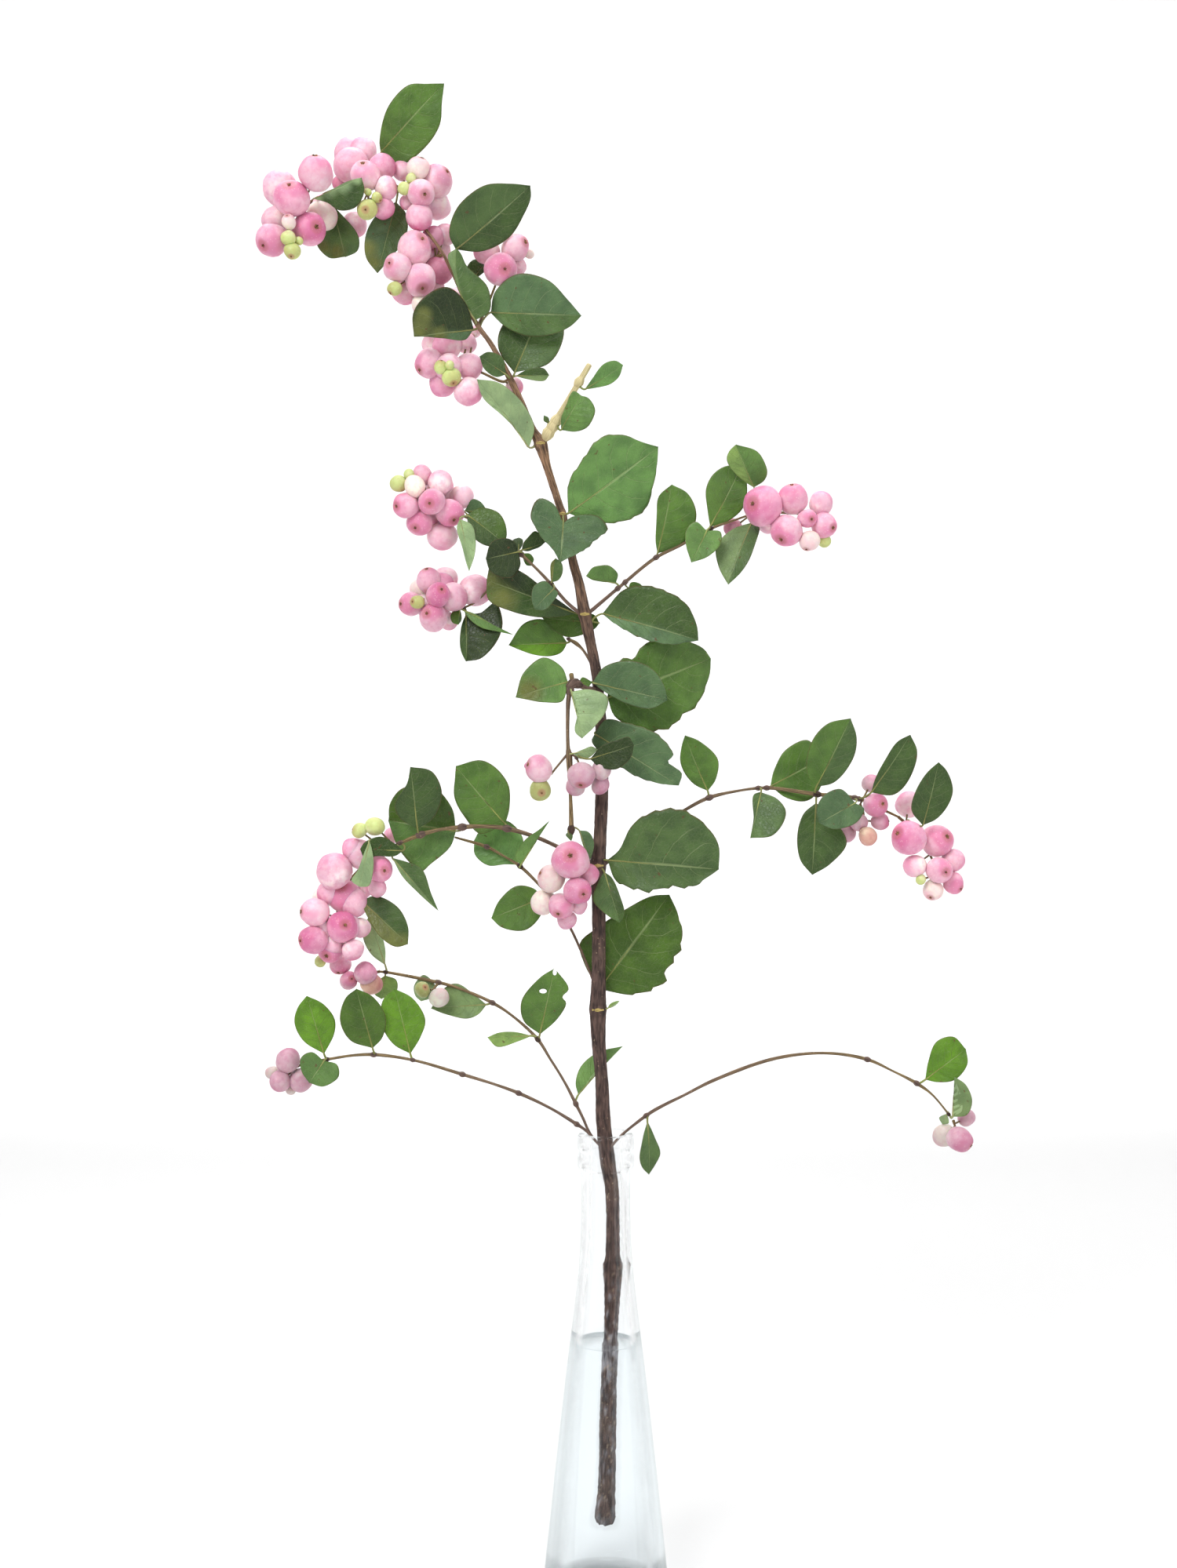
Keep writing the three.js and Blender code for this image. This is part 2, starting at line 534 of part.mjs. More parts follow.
      [[753, 1438, 4, 3], [734, 1431, 5, 4], [701, 1413, 4, 6], [661, 1394, 5, 8], [631, 1383, 4, 9],
        [589, 1370, 5, 10], [527, 1352, 4, 11], [478, 1345, 5, 10], [449, 1346, 4, 9], [417, 1351, 4, 8],
        [397, 1354, 3, 4]],
    ],
    leaves: [
      leaf([734, 1408, 1], [737, 1396, -3], [794, 1334, -8], [[734, 1382], [741, 1361], [765, 1342]],
        [[746, 1383], [757, 1370], [779, 1350]], { tone: "bright", roll: 15 }),
      leaf([686, 1325, -4], [688, 1319, -3], [707, 1235, 2], [[668, 1301], [665, 1275], [688, 1246]],
        [[711, 1298], [722, 1277], [717, 1270], [725, 1260]],
        { tone: "bright", most: 4, hole: [690, 1264, 4.4] }),
      leaf([684, 1324, -4], [678, 1321, -3], [621, 1323, 2], [[655, 1316], [635, 1317]],
        [[660, 1328], [633, 1335]], { tone: "grey" }),
      leaf([626, 1278, -7], [620, 1281, -8], [549, 1286, -14], [[603, 1266], [583, 1254], [566, 1262]],
        [[610, 1294], [597, 1299], [571, 1294]], { tone: "grey", fold: 0.15 }),
      leaf([559, 1253, -10], [553, 1252, -12], [537, 1277, -14], [[540, 1243], [528, 1257], [530, 1270]],
        [[556, 1262], [548, 1273]], { tone: "grey" }),
      leaf([492, 1240, -12], [491, 1244, -15], [486, 1274, -19], [[480, 1252], [477, 1266]],
        [[505, 1249], [506, 1262]], { tone: "grey" }),
      leaf([493, 1240, -12], [491, 1231, -12], [470, 1169, -13], [[473, 1217], [463, 1197], [464, 1180]],
        [[491, 1210], [484, 1186]], { tone: "bright" }),
      leaf([417, 1351, 8], [413, 1344, 8], [391, 1270, 11], [[386, 1326], [375, 1303], [379, 1285]],
        [[426, 1317], [426, 1298], [412, 1280]], { tone: "backlit" }),
      leaf([478, 1345, 10], [475, 1337, 12], [454, 1261, 17], [[447, 1326], [433, 1300], [440, 1272]],
        [[487, 1322], [491, 1295], [475, 1270]], { fold: 0.15, tone: "bright" }),
      leaf([526, 1352, 11], [523, 1344, 9], [503, 1261, 8], [[501, 1331], [486, 1305], [488, 1275]],
        [[536, 1322], [542, 1300], [526, 1273]], { tone: "backlit" }),
      leaf([415, 1352, 8], [413, 1353, 11], [394, 1381, 16], [[397, 1342], [383, 1350], [384, 1367]],
        [[429, 1358], [431, 1374], [412, 1386]], { fold: 0.15 }),
    ],
  },
  twig_low_right: {
    tone: "bark",
    routes: [[[773, 1492, 4, 0], [782, 1468, 4, 3], [788, 1450, 4, 3], [793, 1439, 4, 3],
      [806, 1434, 4, 4], [832, 1417, 5, 5], [873, 1396, 4, 6], [911, 1377, 5, 7], [987, 1350, 5, 8],
      [1052, 1343, 4, 9], [1105, 1351, 5, 9], [1138, 1366, 3, 9], [1169, 1382, 5, 9], [1188, 1396, 3, 9],
      [1213, 1426, 3, 9]]],
    leaves: [
      leaf([826, 1421, 5], [825, 1430, 6], [827, 1498, 11], [[818, 1452], [814, 1476], [818, 1489]],
        [[833, 1449], [840, 1470], [835, 1484]], { roll: 20 }),
      leaf([1170, 1382, 9], [1179, 1377, 9], [1231, 1338, 12], [[1183, 1354], [1194, 1328], [1215, 1322]],
        [[1195, 1380], [1217, 1377], [1233, 1357]], { tone: "bright", wave: 1 }),
      leaf([1210, 1422, 9], [1214, 1424, 11], [1216, 1373, 15], [[1226, 1416], [1226, 1400], [1221, 1385]],
        [[1232, 1421], [1239, 1402], [1231, 1383]], { tone: "grey" }),
      leaf([1208, 1419, 9], [1207, 1420, 7], [1201, 1434, 6], [[1197, 1425]], [[1209, 1432]]),
    ],
  },
};

// Leaves that grow straight on the woody stem
const STEM_LEAVES = {
  leaf_crown_top: leaf([497, 231, -10], [485, 196, -9], [566, 107, 2],
    [[484, 180], [497, 137], [522, 110], [545, 108]],
    [[513, 211], [542, 190], [562, 160], [564, 130]], { roll: 12, tone: "bright", wave: 1 }),
  leaf_crown_fold: leaf([409, 250, -8], [400, 254, 11], [461, 227, 16], [[425, 241], [445, 231]],
    [[418, 259], [433, 268], [455, 264], [465, 244]], { fold: 0.2 }),
  leaf_crown_left: leaf([420, 246, -8], [424, 262, -11.5], [440, 328, -8],
    [[411, 287], [404, 311], [419, 329]],
    [[440, 279], [458, 304], [455, 320]], { fold: 0, curl: 0, roll: -25 }),
  leaf_crown_middle: leaf([507, 243, -9], [505, 258, -6], [481, 349, 0],
    [[480, 276], [465, 305], [466, 330]],
    [[517, 275], [517, 305], [497, 332]], { fold: 0.15 }),
  leaf_crown_right: leaf([571, 334, 3], [581, 319, 6], [676, 237, 12],
    [[572, 298], [583, 261], [615, 236], [650, 234]],
    [[612, 320], [648, 302], [667, 272], [676, 252]], { roll: -12, fold: 0.15 }),
  leaf_crown_small: leaf([590, 372, 2], [600, 360, -6], [622, 331, -11], [[594, 344], [602, 333]],
    [[612, 352], [622, 342]]),
  leaf_stem_wrap: leaf([606, 412, 2], [606, 409, 5], [582, 317, 9], [[588, 380], [577, 348], [571, 326]],
    [[624, 398], [622, 368], [595, 340], [588, 325]], { bow: -10, tone: "grey" }),
  leaf_crown_dark: leaf([609, 417, 2], [604, 421, 3], [528, 430, 11],
    [[592, 388], [568, 367], [540, 378], [526, 400]],
    [[592, 434], [563, 432], [540, 430]], { fold: 0.15 }),
  leaf_crown_wide: leaf([611, 419, 2], [625, 399, 1], [741, 403, 7],
    [[631, 373], [662, 350], [700, 358], [724, 382]],
    [[645, 417], [672, 429], [705, 427], [727, 417]], { tone: "grey", fold: 0.1 }),
  leaves_crown_behind: [
    leaf([652, 484, 2], [656, 476, -1], [690, 398, -7], [[636, 450], [637, 425], [655, 402]],
      [[697, 468], [716, 442], [716, 412]], { roll: 10 }),
    leaf([652, 485, 2], [657, 480, 0], [700, 479, 3], [[672, 472], [693, 470]], [[672, 484], [694, 486]]),
  ],
  leaf_stem_fold: leaf([649, 484, 2], [645, 478, 6], [611, 455, 10], [[640, 456], [622, 449]],
    [[632, 481], [617, 471]], { fold: 0.25 }),
  leaf_pale_long: leaf([682, 566, 1], [674, 571, 4], [608, 484, 4], [[661, 553], [640, 531], [615, 508]],
    [[681, 545], [668, 517], [637, 489]], { tone: "pale", curl: -0.03, roll: 15 }),
  leaf_bow_tie: leaf([717, 656, 0], [718, 667, 6], [714, 718, 11],
    [[706, 645], [688, 637], [676, 658], [687, 684], [704, 703]],
    [[730, 660], [762, 661], [775, 678], [758, 694], [741, 706]], { tone: "grey", most: 5 }),
  leaf_right_upper: leaf([717, 655, 0], [724, 655, 1], [839, 570, 8],
    [[724, 615], [738, 588], [762, 557], [790, 553], [820, 564]],
    [[750, 664], [790, 665], [822, 651], [830, 628], [837, 594]], { roll: -10, most: 5, wave: 1 }),
  leaf_left_large: leaf([742, 786, 0], [736, 783, -3], [620, 740, 6], [[700, 757], [665, 730], [628, 716]],
    [[710, 787], [684, 787], [652, 780], [622, 765]], { fold: 0.1 }),
  leaf_behind_node: leaf([746, 792, 0], [764, 795, -6], [691, 788, -7],
    [[757, 784], [730, 783], [705, 785]],
    [[757, 803], [725, 813], [703, 802]], { tone: "backlit", curl: 0 }),
  leaf_right_first: leaf([752, 796, 0], [767, 783, 1], [890, 817, 8],
    [[798, 752], [835, 750], [874, 770], [888, 797]],
    [[787, 799], [820, 817], [855, 824], [875, 820]], { roll: 8, fold: 0.1, wave: 1 }),
  leaf_right_toothed: leaf([764, 889, 0], [774, 890, -2], [906, 840, -6],
    [[778, 866], [791, 839], [805, 839], [820, 820], [860, 814], [896, 827]],
    [[783, 914], [815, 931], [851, 930], [869, 914], [888, 899], [904, 862]],
    { most: 6, roll: -6, tone: "bright" }),
  leaf_right_grey: leaf([759, 870, 0], [755, 871, 4], [851, 893, 9],
    [[770, 851], [802, 843], [830, 852], [846, 873]],
    [[770, 882], [800, 898], [830, 904]], { tone: "grey", fold: 0.1 }),
  leaf_right_bitten: leaf([766, 934, 0], [758, 936, 5], [865, 1002, 9],
    [[772, 918], [795, 921], [837, 935], [859, 963], [851, 971], [869, 986]],
    [[754, 946], [786, 976], [818, 994], [848, 1001]], { most: 6, tone: "grey", fold: 0.08 }),
  leaf_right_large: leaf([764, 1097, 0], [774, 1097, 3], [916, 1109, 9],
    [[790, 1083], [805, 1053], [833, 1034], [870, 1031], [900, 1052], [916, 1078]],
    [[785, 1124], [809, 1136], [830, 1140], [849, 1134], [884, 1132], [903, 1119]],
    { most: 6, tone: "grey", fold: 0.12 }),
  leaf_right_low: leaf([762, 1268, 0], [763, 1262, -5], [853, 1141, -8],
    [[745, 1230], [739, 1203], [760, 1184], [795, 1161], [830, 1143]],
    [[810, 1269], [849, 1255], [853, 1238], [871, 1208], [866, 1170]], { most: 5, fold: 0.04 }),
  leaf_stem_front: leaf([765, 1107, 0], [770, 1112, 5], [790, 1177, 11],
    [[762, 1127], [756, 1149], [774, 1168]],
    [[780, 1120], [791, 1145], [796, 1166]], { fold: 0.25, tone: "grey" }),
  leaf_under_bunch: leaf(null, [461, 1149, -2], [520, 1204, 5], [[478, 1143], [508, 1158], [521, 1183]],
    [[466, 1164], [486, 1196], [505, 1208]], { fold: 0.15 }),
  leaf_stem_bud: leaf([766, 1288, 0], [774, 1286, 2], [790, 1276, 4], [[778, 1280], [784, 1277]],
    [[779, 1285], [786, 1281]], { tone: "olive" }),
  leaf_right_end: leaf([1157, 1046, 5], [1176, 1053, 15], [1196, 972, 20],
    [[1161, 1033], [1165, 1009], [1180, 986]],
    [[1194, 1043], [1213, 1010], [1206, 983]], { roll: -15 }),
};

const BUNCHES = {
  bunch_tip_left: {
    front: 14,
    stalk: [[376, 288, 4, -6], [372, 300, 4, -2]],
    berries: [[368, 283, 20], [368, 304, 18], [373, 321, 22], [381, 308, 12], [394, 293, 42],
      [346, 306, 40], [372, 254, 45], [403, 222, 44], [357, 241, 44], [350, 281, 34], [411, 276, 38]],
  },
  bunch_tip_middle: {
    front: 10,
    stalk: [[466, 236, 4, -8], [468, 246, 4, -4]],
    berries: [[480, 252, 15], [469, 246, 12], [468, 267, 27], [465, 226, 38], [492, 241, 29],
      [447, 212, 46], [487, 213, 36], [488, 266, 28], [463, 193, 34, -11], [447, 198, 44, -18],
      [433, 234, 20], [452, 287, 34, -15]],
  },
  bunch_tip_right: {
    front: 8,
    stalk: [[520, 253, 4, -5], [526, 250, 4, -3]],
    berries: [[524, 228, 12], [515, 241, 15], [536, 247, 34], [533, 216, 29], [557, 232, 42],
      [534, 277, 34], [556, 263, 38], [518, 259, 20]],
  },
  bunch_crown_left: {
    front: 8,
    stalk: [[563, 326, 4, 1], [556, 328, 4, -2]],
    berries: [[503, 368, 19], [506, 342, 36], [536, 358, 41], [533, 315, 34], [559, 345, 38],
      [516, 374, 30], [552, 304, 30, -4], [567, 300, 28, -7], [537, 390, 26, 1], [580, 384, 32, -9]],
  },
  bunch_crown_right: {
    front: 4,
    stalk: [[609, 416, 4, 2], [622, 388, 4, -5]],
    berries: [[638, 344, 41], [657, 317, 34], [620, 320, 34], [659, 340, 26], [674, 324, 13]],
  },
  bunch_crown_low: {
    front: 5,
    stalk: [[650, 483, 4, 2], [640, 487, 4, -5]],
    berries: [[573, 466, 12], [562, 469, 17], [576, 482, 25], [596, 500, 38], [598, 468, 36],
      [547, 464, 38], [569, 441, 38], [564, 490, 34], [550, 440, 26], [595, 438, 26], [605, 424, 15],
      [656, 493, 24, -8]],
  },
  bunch_left_upper: {
    front: 10,
    stalk: [[600, 662, 4, 0], [585, 656, 4, -2]],
    berries: [[529, 621, 27], [550, 640, 34], [517, 645, 34], [572, 654, 37], [521, 605, 13],
      [535, 667, 34], [563, 684, 40], [561, 615, 32], [538, 606, 26], [589, 634, 32], [508, 617, 23]],
  },
  bunch_left_lower: {
    front: 6,
    stalk: [[586, 775, 4, -7], [570, 770, 4, -6]],
    berries: [[532, 768, 18], [558, 759, 31], [577, 761, 36], [546, 741, 32], [552, 788, 37],
      [567, 739, 32], [606, 753, 42], [525, 770, 31], [536, 752, 26], [573, 793, 24, -11]],
  },
  bunch_right_upper: {
    front: 14,
    stalk: [[958, 656, 4, 1], [985, 654, 4, 1]],
    berries: [[1028, 661, 24], [972, 646, 49], [1002, 677, 41], [1011, 637, 39], [1050, 670, 32],
      [1046, 642, 30], [1031, 691, 25], [1051, 691, 16], [978, 668, 26, 0], [934, 674, 24, -3]],
  },
  bunch_drooping_side: {
    front: 13,
    stalk: [[699, 991, 4, 10], [694, 994, 4, 10]],
    berries: [[687, 980, 34], [688, 1008, 28], [673, 977, 12]],
  },
  bunch_drooping_middle: {
    front: 18,
    stalk: [[741, 978, 4, 12], [750, 988, 4, 12]],
    berries: [[741, 988, 34], [733, 1003, 26], [766, 981, 26], [765, 1001, 24]],
  },
  bunch_drooping_end: {
    front: 18,
    stalk: [[727, 1074, 4, 9], [727, 1085, 4, 10]],
    berries: [[727, 1097, 47], [736, 1136, 36], [715, 1155, 32], [692, 1151, 32], [703, 1120, 34],
      [750, 1115, 28], [738, 1155, 22], [722, 1173, 26]],
  },
  bunch_left_long: {
    front: 3,
    stalk: [[506, 1078.5, 4, 0.8], [485, 1092, 4, -6]],
    berries: [[478, 1054, 24], [458, 1059, 19], [436, 1182, 41], [426, 1111, 46], [438, 1143, 42],
      [401, 1164, 37], [399, 1198, 37], [422, 1212, 33], [484, 1108, 32], [459, 1183, 26],
      [450, 1212, 27], [480, 1133, 24], [460, 1090, 40], [499, 1066, 22, -13], [463, 1135, 20],
      [434, 1229, 28], [411, 1146, 28], [408, 1226, 14]],
  },
  bunch_low_left_end: {
    front: -4,
    stalk: [[484, 1239, 4, -12], [470, 1242, 4, -12]],
    berries: [[466, 1241, 30], [444, 1251, 25], [473, 1255, 28, -7]],
  },
  bunch_low_left_small: {
    front: -4,
    stalk: [[559, 1253, 4, -10], [552, 1262, 4, -7]],
    berries: [[538, 1262, 20], [560, 1272, 26]],
  },
  bunch_lowest_left: {
    front: 6,
    stalk: [[400, 1353.5, 4, 4.7], [386, 1357, 4, 2]],
    berries: [[367, 1352, 31], [357, 1379, 28], [383, 1377, 30], [347, 1368, 18], [370, 1389, 14]],
  },
  bunch_right_middle: {
    front: 10,
    stalk: [[1096, 1026, 4, 5], [1100, 1036, 4, 5]],
    berries: [[1115, 1026, 31], [1106, 1066, 25], [1095, 1049, 24], [1078, 1062, 24, 2], [1121, 1048, 24],
      [1110, 999, 24, -1]],
  },
  bunch_right_end: {
    front: 10,
    stalk: [[1145, 1042, 4, 3], [1165, 1060, 4, -2]],
    berries: [[1158, 1069, 44], [1197, 1110, 34], [1194, 1072, 42], [1174, 1122, 14], [1189, 1135, 27],
      [1215, 1127, 28], [1214, 1097, 28], [1166, 1104, 30], [1158, 1026, 34, -6]],
  },
  bunch_low_right: {
    front: 13,
    stalk: [[1215, 1429, 4, 9], [1217, 1436, 4, 9]],
    berries: [[1223, 1453, 33], [1204, 1448, 29], [1231, 1426, 24, 5]],
  },
};

// Bottle and water: outlines of [radius, height] turned about the axis
const FLOOR_HEIGHT = 6.4; // the bottle's inside starts here at its axis
const WALL_START = 13; // the wall's inside starts here, above the rounded floor
const BOTTLE_OUTSIDE = [
  [0, 0], [26.6, 0], [28.6, 0.9], [29.2, 3], [28.7, 8.5], [23.9, 55], [17.8, 108],
  [13.8, 140], [12.1, 157], [11.4, 172], [11.4, 197], [13.1, 198.5], [13.1, 203.5], [12.2, 205],
  [13.1, 206.6], [13.1, 212.8], [12.2, 213.6],
];
const BOTTLE_INSIDE = [
  [8.6, 213.6], [7.8, 212], [7.8, 172], [8.8, 157], [10.8, 140], [14.8, 108], [20.9, 55],
  [24.6, WALL_START], [23.6, 8.6], [20, 7], [0, FLOOR_HEIGHT],
];

function turned(outline) {
  const points = outline.map(([radius, height]) => new THREE.Vector2(radius, height));
  const lathe = new THREE.LatheGeometry(points, BOTTLE_SEGMENTS);
  return solidOf(lathe.rotateX(Math.PI / 2));
}

function bottle() {
  return turned([...BOTTLE_OUTSIDE, ...BOTTLE_INSIDE]);
}

// Radius of the bottle's inside at a height between its floor and its mouth.
function insideRadius(height) {
  const wall = BOTTLE_INSIDE.filter(([, z]) => z >= WALL_START);
  for (let i = 0; i + 1 < wall.length; i++) {
    const [upper, lower] = [wall[i], wall[i + 1]];
    if (height <= upper[1] && height >= lower[1]) {
      return THREE.MathUtils.mapLinear(height, lower[1], upper[1], lower[0], upper[0]);
    }
  }
  return wall[0][0];
}

// The water fills the bottle's inside up to its level, but for the space round the stem.
function water(stemSpace) {
  const floor = [[0, FLOOR_HEIGHT + GAP], [20, 7 + GAP], [23.3, 8.9]];
  const heights = [WALL_START, 55, 108, WATER_LEVEL];
  const sides = heights.map((height) => [insideRadius(height) - GAP, height]);
  return turned([...floor, ...sides, [0, WATER_LEVEL]]).subtract(stemSpace);
}

// Materials
const COLOURS = {
  glass: [0xdfe9e6, 0.05],
  water: [0xe6f0f0, 0.02],
  bark: [0x5f4136, 0.75],
  peeled: [0xd7cda0, 0.7],
  berry: [0xec9fbc, 0.35],
  leaf: [0x4f7443, 0.55],
};
const LEAF_TONES = {
  bright: 0x6a9440,
  backlit: 0x5c8a2c,
  grey: 0x557a5c,
  pale: 0x9cb890,
  olive: 0x7c7a45,
};

function material(kind) {
  const [colour, roughness] = COLOURS[kind] ?? [LEAF_TONES[kind], COLOURS.leaf[1]];
  const made = new THREE.MeshStandardMaterial({ color: colour, roughness, metalness: 0 });
  if (kind === "glass" || kind === "water") {
    made.transparent = true;
    made.opacity = 0.35;
  }
  return made;
}

const group = new THREE.Group();
group.name = "snowberry_stem_in_bottle";

function addPiece(name, solid, kind) {
  const mesh = new THREE.Mesh(geometryOf(solid), material(kind));
  mesh.name = name;
  group.add(mesh);
}

// Assembly
// A leaf's blade with the hole [column, row, width in mm] that was eaten in it, if it has one.
function holed(solid, spec) {
  if (!spec.hole) return solid;
  const [column, row, width] = spec.hole;
  const ends = [-PUNCH_DEPTH, PUNCH_DEPTH].map((depth) => at([column, row, depth]));
  return solid.subtract(rod(ends, [width / 2, width / 2], PUNCH_SIDES));
}

// Each grown piece is cut back from the wood that carries it by the free space around that wood.
const stemSpace = twig(STEM, STEM_SIDES, GAP);
addPiece("glass_bottle", bottle(), "glass");
addPiece("water", water(stemSpace), "water");
addPiece("main_stem", twig(STEM, STEM_SIDES), "bark");

const woodSpace = [stemSpace];
for (const [name, { tone, routes, leaves }] of Object.entries(TWIGS)) {
  const wood = routes.map((route) => twig(route));
  const blades = leaves.map((spec) => holed(blade(spec), spec));
  addPiece(name, largest(joined([...wood, ...blades]).subtract(stemSpace)), tone);
  woodSpace.push(...routes.map((route) => twig(route, TWIG_SIDES, GAP)));
}
for (const [name, specs] of Object.entries(STEM_LEAVES)) {
  const list = [specs].flat();
  const blades = joined(list.map((spec) => blade(spec)));
  addPiece(name, largest(blades.subtract(stemSpace)), list[0].tone ?? "leaf");
}
const allWood = joined(woodSpace);
for (const [name, spec] of Object.entries(BUNCHES)) {
  addPiece(name, largest(bunch(spec).subtract(allWood)), "berry");
}

export default group;
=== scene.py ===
"""Looks of a pink snowberry stem in a clear glass bottle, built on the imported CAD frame.

Millimetres and picture places are turned into metres in the row frame: +Z up, +X to the
viewer's right, -Y toward the viewer, origin at the centre of the bottle's base.
"""
import logging
import math
from dataclasses import dataclass, field
from enum import Enum
from typing import Any, Iterable, Optional, Sequence

import bpy
import numpy as np
from mathutils import Matrix, Vector, noise


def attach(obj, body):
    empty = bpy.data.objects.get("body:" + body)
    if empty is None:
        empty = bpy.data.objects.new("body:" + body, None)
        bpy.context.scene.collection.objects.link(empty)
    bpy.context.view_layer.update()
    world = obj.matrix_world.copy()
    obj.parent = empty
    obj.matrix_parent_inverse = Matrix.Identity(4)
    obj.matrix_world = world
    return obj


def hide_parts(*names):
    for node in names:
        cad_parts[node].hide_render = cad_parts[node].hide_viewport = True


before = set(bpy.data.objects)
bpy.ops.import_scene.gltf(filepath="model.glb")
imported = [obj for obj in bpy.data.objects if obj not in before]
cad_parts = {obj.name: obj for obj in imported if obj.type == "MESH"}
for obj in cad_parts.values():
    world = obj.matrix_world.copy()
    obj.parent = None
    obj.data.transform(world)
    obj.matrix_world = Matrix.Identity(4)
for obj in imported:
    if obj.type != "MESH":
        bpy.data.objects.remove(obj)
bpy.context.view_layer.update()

LOG = logging.getLogger("snowberry")
MM = 0.001
SCALE = 700 / 1918  # mm per picture pixel at the stem
VIEW_DISTANCE = 820.0  # mm from the eye to the stem
EYE_COLUMN, EYE_ROW = 750.0, 1000.0
AXIS_COLUMN = 772.0
BASE_ROW = 2030.0
EYE = np.array([(EYE_COLUMN - AXIS_COLUMN) * SCALE, -VIEW_DISTANCE, (BASE_ROW - EYE_ROW) * SCALE])
WATER_LEVEL = 116.0
PRESS = 0.92  # pressed berries stand this share of their radii apart
CURVE_STEPS = 12  # between two known points of a curve
SEED = 11
VEIN_ROWS = 6.5  # side veins on each half of a leaf
VEIN_SHIFT = 0.42  # how far the one half's veins start after the other's, as a share of their spacing
VEIN_SLANT = 1.5
VEIN_BEND = 1.3

Colour = tuple[float, float, float]
Array = np.ndarray


def at(place: Sequence[float]) -> Array:
    """Turns a picture column, row and depth in front of the stem into a point.

    Args:
        place: Column, row and depth in mm toward the viewer.

    Returns:
        The point in mm in the row frame.
    """
    column, row, depth = place
    size = SCALE * (VIEW_DISTANCE - depth) / VIEW_DISTANCE
    return np.array([EYE[0] + (column - EYE_COLUMN) * size, -depth, EYE[2] + (EYE_ROW - row) * size])


def linear(colour: Sequence[float]) -> Colour:
    """Turns a colour seen on a screen, 0 to 255, into scene-linear values.

    Args:
        colour: Red, green and blue from 0 to 255.

    Returns:
        The colour as three linear values from 0 to 1.
    """
    parts = [c / 255 for c in colour]
    return tuple(c / 12.92 if c <= 0.04045 else ((c + 0.055) / 1.055) ** 2.4 for c in parts)


def unit(vector: Array) -> Array:
    """Returns the vector at length one."""
    return vector / max(float(np.linalg.norm(vector)), 1e-9)


def spline(points: Sequence[Array], count: int) -> Array:
    """Runs a smooth curve through points.

    Args:
        points: The points that the curve passes, at least two.
        count: How many points the curve comes out with.

    Returns:
        An array of points, evenly spread along the curve.
    """
    known = np.array(points, dtype=float)
    if len(known) == 2:
        steps = np.linspace(0, 1, count)[:, None]
        return known[0] * (1 - steps) + known[1] * steps
    padded = np.vstack([2 * known[0] - known[1], known, 2 * known[-1] - known[-2]])
    dense = []
    for p0, p1, p2, p3 in zip(padded, padded[1:], padded[2:], padded[3:]):
        pairs = ((p0, p1), (p1, p2), (p2, p3))
        k1, k2, k3 = (np.linalg.norm((after - before)[:3]) ** 0.5 + 1e-6 for before, after in pairs)
        m1 = (p1 - p0) / k1 - (p2 - p0) / (k1 + k2) + (p2 - p1) / k2
        m2 = (p2 - p1) / k2 - (p3 - p1) / (k2 + k3) + (p3 - p2) / k3
        t = np.linspace(0, 1, CURVE_STEPS, endpoint=False)[:, None]
        dense.append(
            (2 * t**3 - 3 * t**2 + 1) * p1
            + (t**3 - 2 * t**2 + t) * m1 * k2
            + (-2 * t**3 + 3 * t**2) * p2
            + (t**3 - t**2) * m2 * k2
        )
    curve = np.vstack(dense + [known[-1:]])
    reach = np.concatenate([[0], np.cumsum(np.linalg.norm(np.diff(curve, axis=0), axis=1))])
    wanted = np.linspace(0, reach[-1], count)
    return np.stack([np.interp(wanted, reach, curve[:, k]) for k in range(curve.shape[1])], axis=1)


class Tone(Enum):
    """Screen colour of a leaf's face. The dark tones NIGHT, DEEP, SHADE and DIM are partly the leaf's own
    deep green and partly painted shade, for leaves in shadow; BACKLIT paints light shining through a leaf.
    """

    NIGHT = (42, 60, 22)
    DEEP = (54, 78, 30)
    SHADE = (68, 92, 46)
    DIM = (76, 106, 34)
    LEAF = (84, 110, 64)
    GREY = (90, 118, 84)
    MIDDLE = (92, 126, 56)
    BRIGHT = (106, 142, 78)
    FRESH = (114, 156, 90)
    BACKLIT = (104, 148, 36)
    OLIVE = (112, 116, 62)
    DUSTY = (124, 146, 102)
    LIME = (140, 168, 98)
    PALE = (158, 180, 142)


class Ripeness(Enum):
    """Skin colours of a berry: main colour, blush, and the pale side. DARK is pink skin darkened with painted
    shade, for berries that lie in shadow.
    """

    PINK = ((234, 184, 202), (218, 132, 167), (246, 223, 226))
    DEEP = ((230, 165, 191), (210, 114, 156), (244, 212, 219))
    ROSE = ((238, 199, 211), (224, 154, 181), (248, 233, 228))
    CREAM = ((244, 227, 213), (232, 186, 191), (250, 250, 231))
    GREEN = ((198, 210, 136), (180, 182, 112), (222, 226, 172))
    PALE = ((240, 225, 217), (234, 190, 198), (250, 250, 231))
    ORANGE = ((230, 178, 161), (206, 134, 131), (242, 216, 187))
    # painted shade: the skin of a pink berry that lies in shadow
    DARK = ((206, 132, 158), (181, 96, 126), (222, 165, 183))


@dataclass
class Leaf:
    """One leaf: where its stalk starts, its midrib's ends, its margins and how it bends.

    Roots, bases and tips are a column, a row and a depth in mm; a margin's points have no depth.
    """

    root: Optional[Sequence[float]]
    base: Sequence[float]
    tip: Sequence[float]
    left: Sequence[Sequence[float]]
    right: Sequence[Sequence[float]]
    tone: Tone = Tone.LEAF
    second: Optional[Tone] = None
    roll: float = 0.0
    fold: float = 0.1
    curl: float = 0.04
    bow: float = 0.0
    wave: float = 0.0
    teeth: tuple[float, float] = (0.0, 0.0)
    holes: Sequence[tuple[float, float, float, float]] = ()
    stains: Sequence[tuple[float, float, float, str]] = ()


class Wood(Enum):
    """What covers a twig."""

    BARK = "leaf"  # slot name for a twig in its bark, which shows mostly leaves; dress_piece doesn't use it
    PEELED = "peeled_wood"


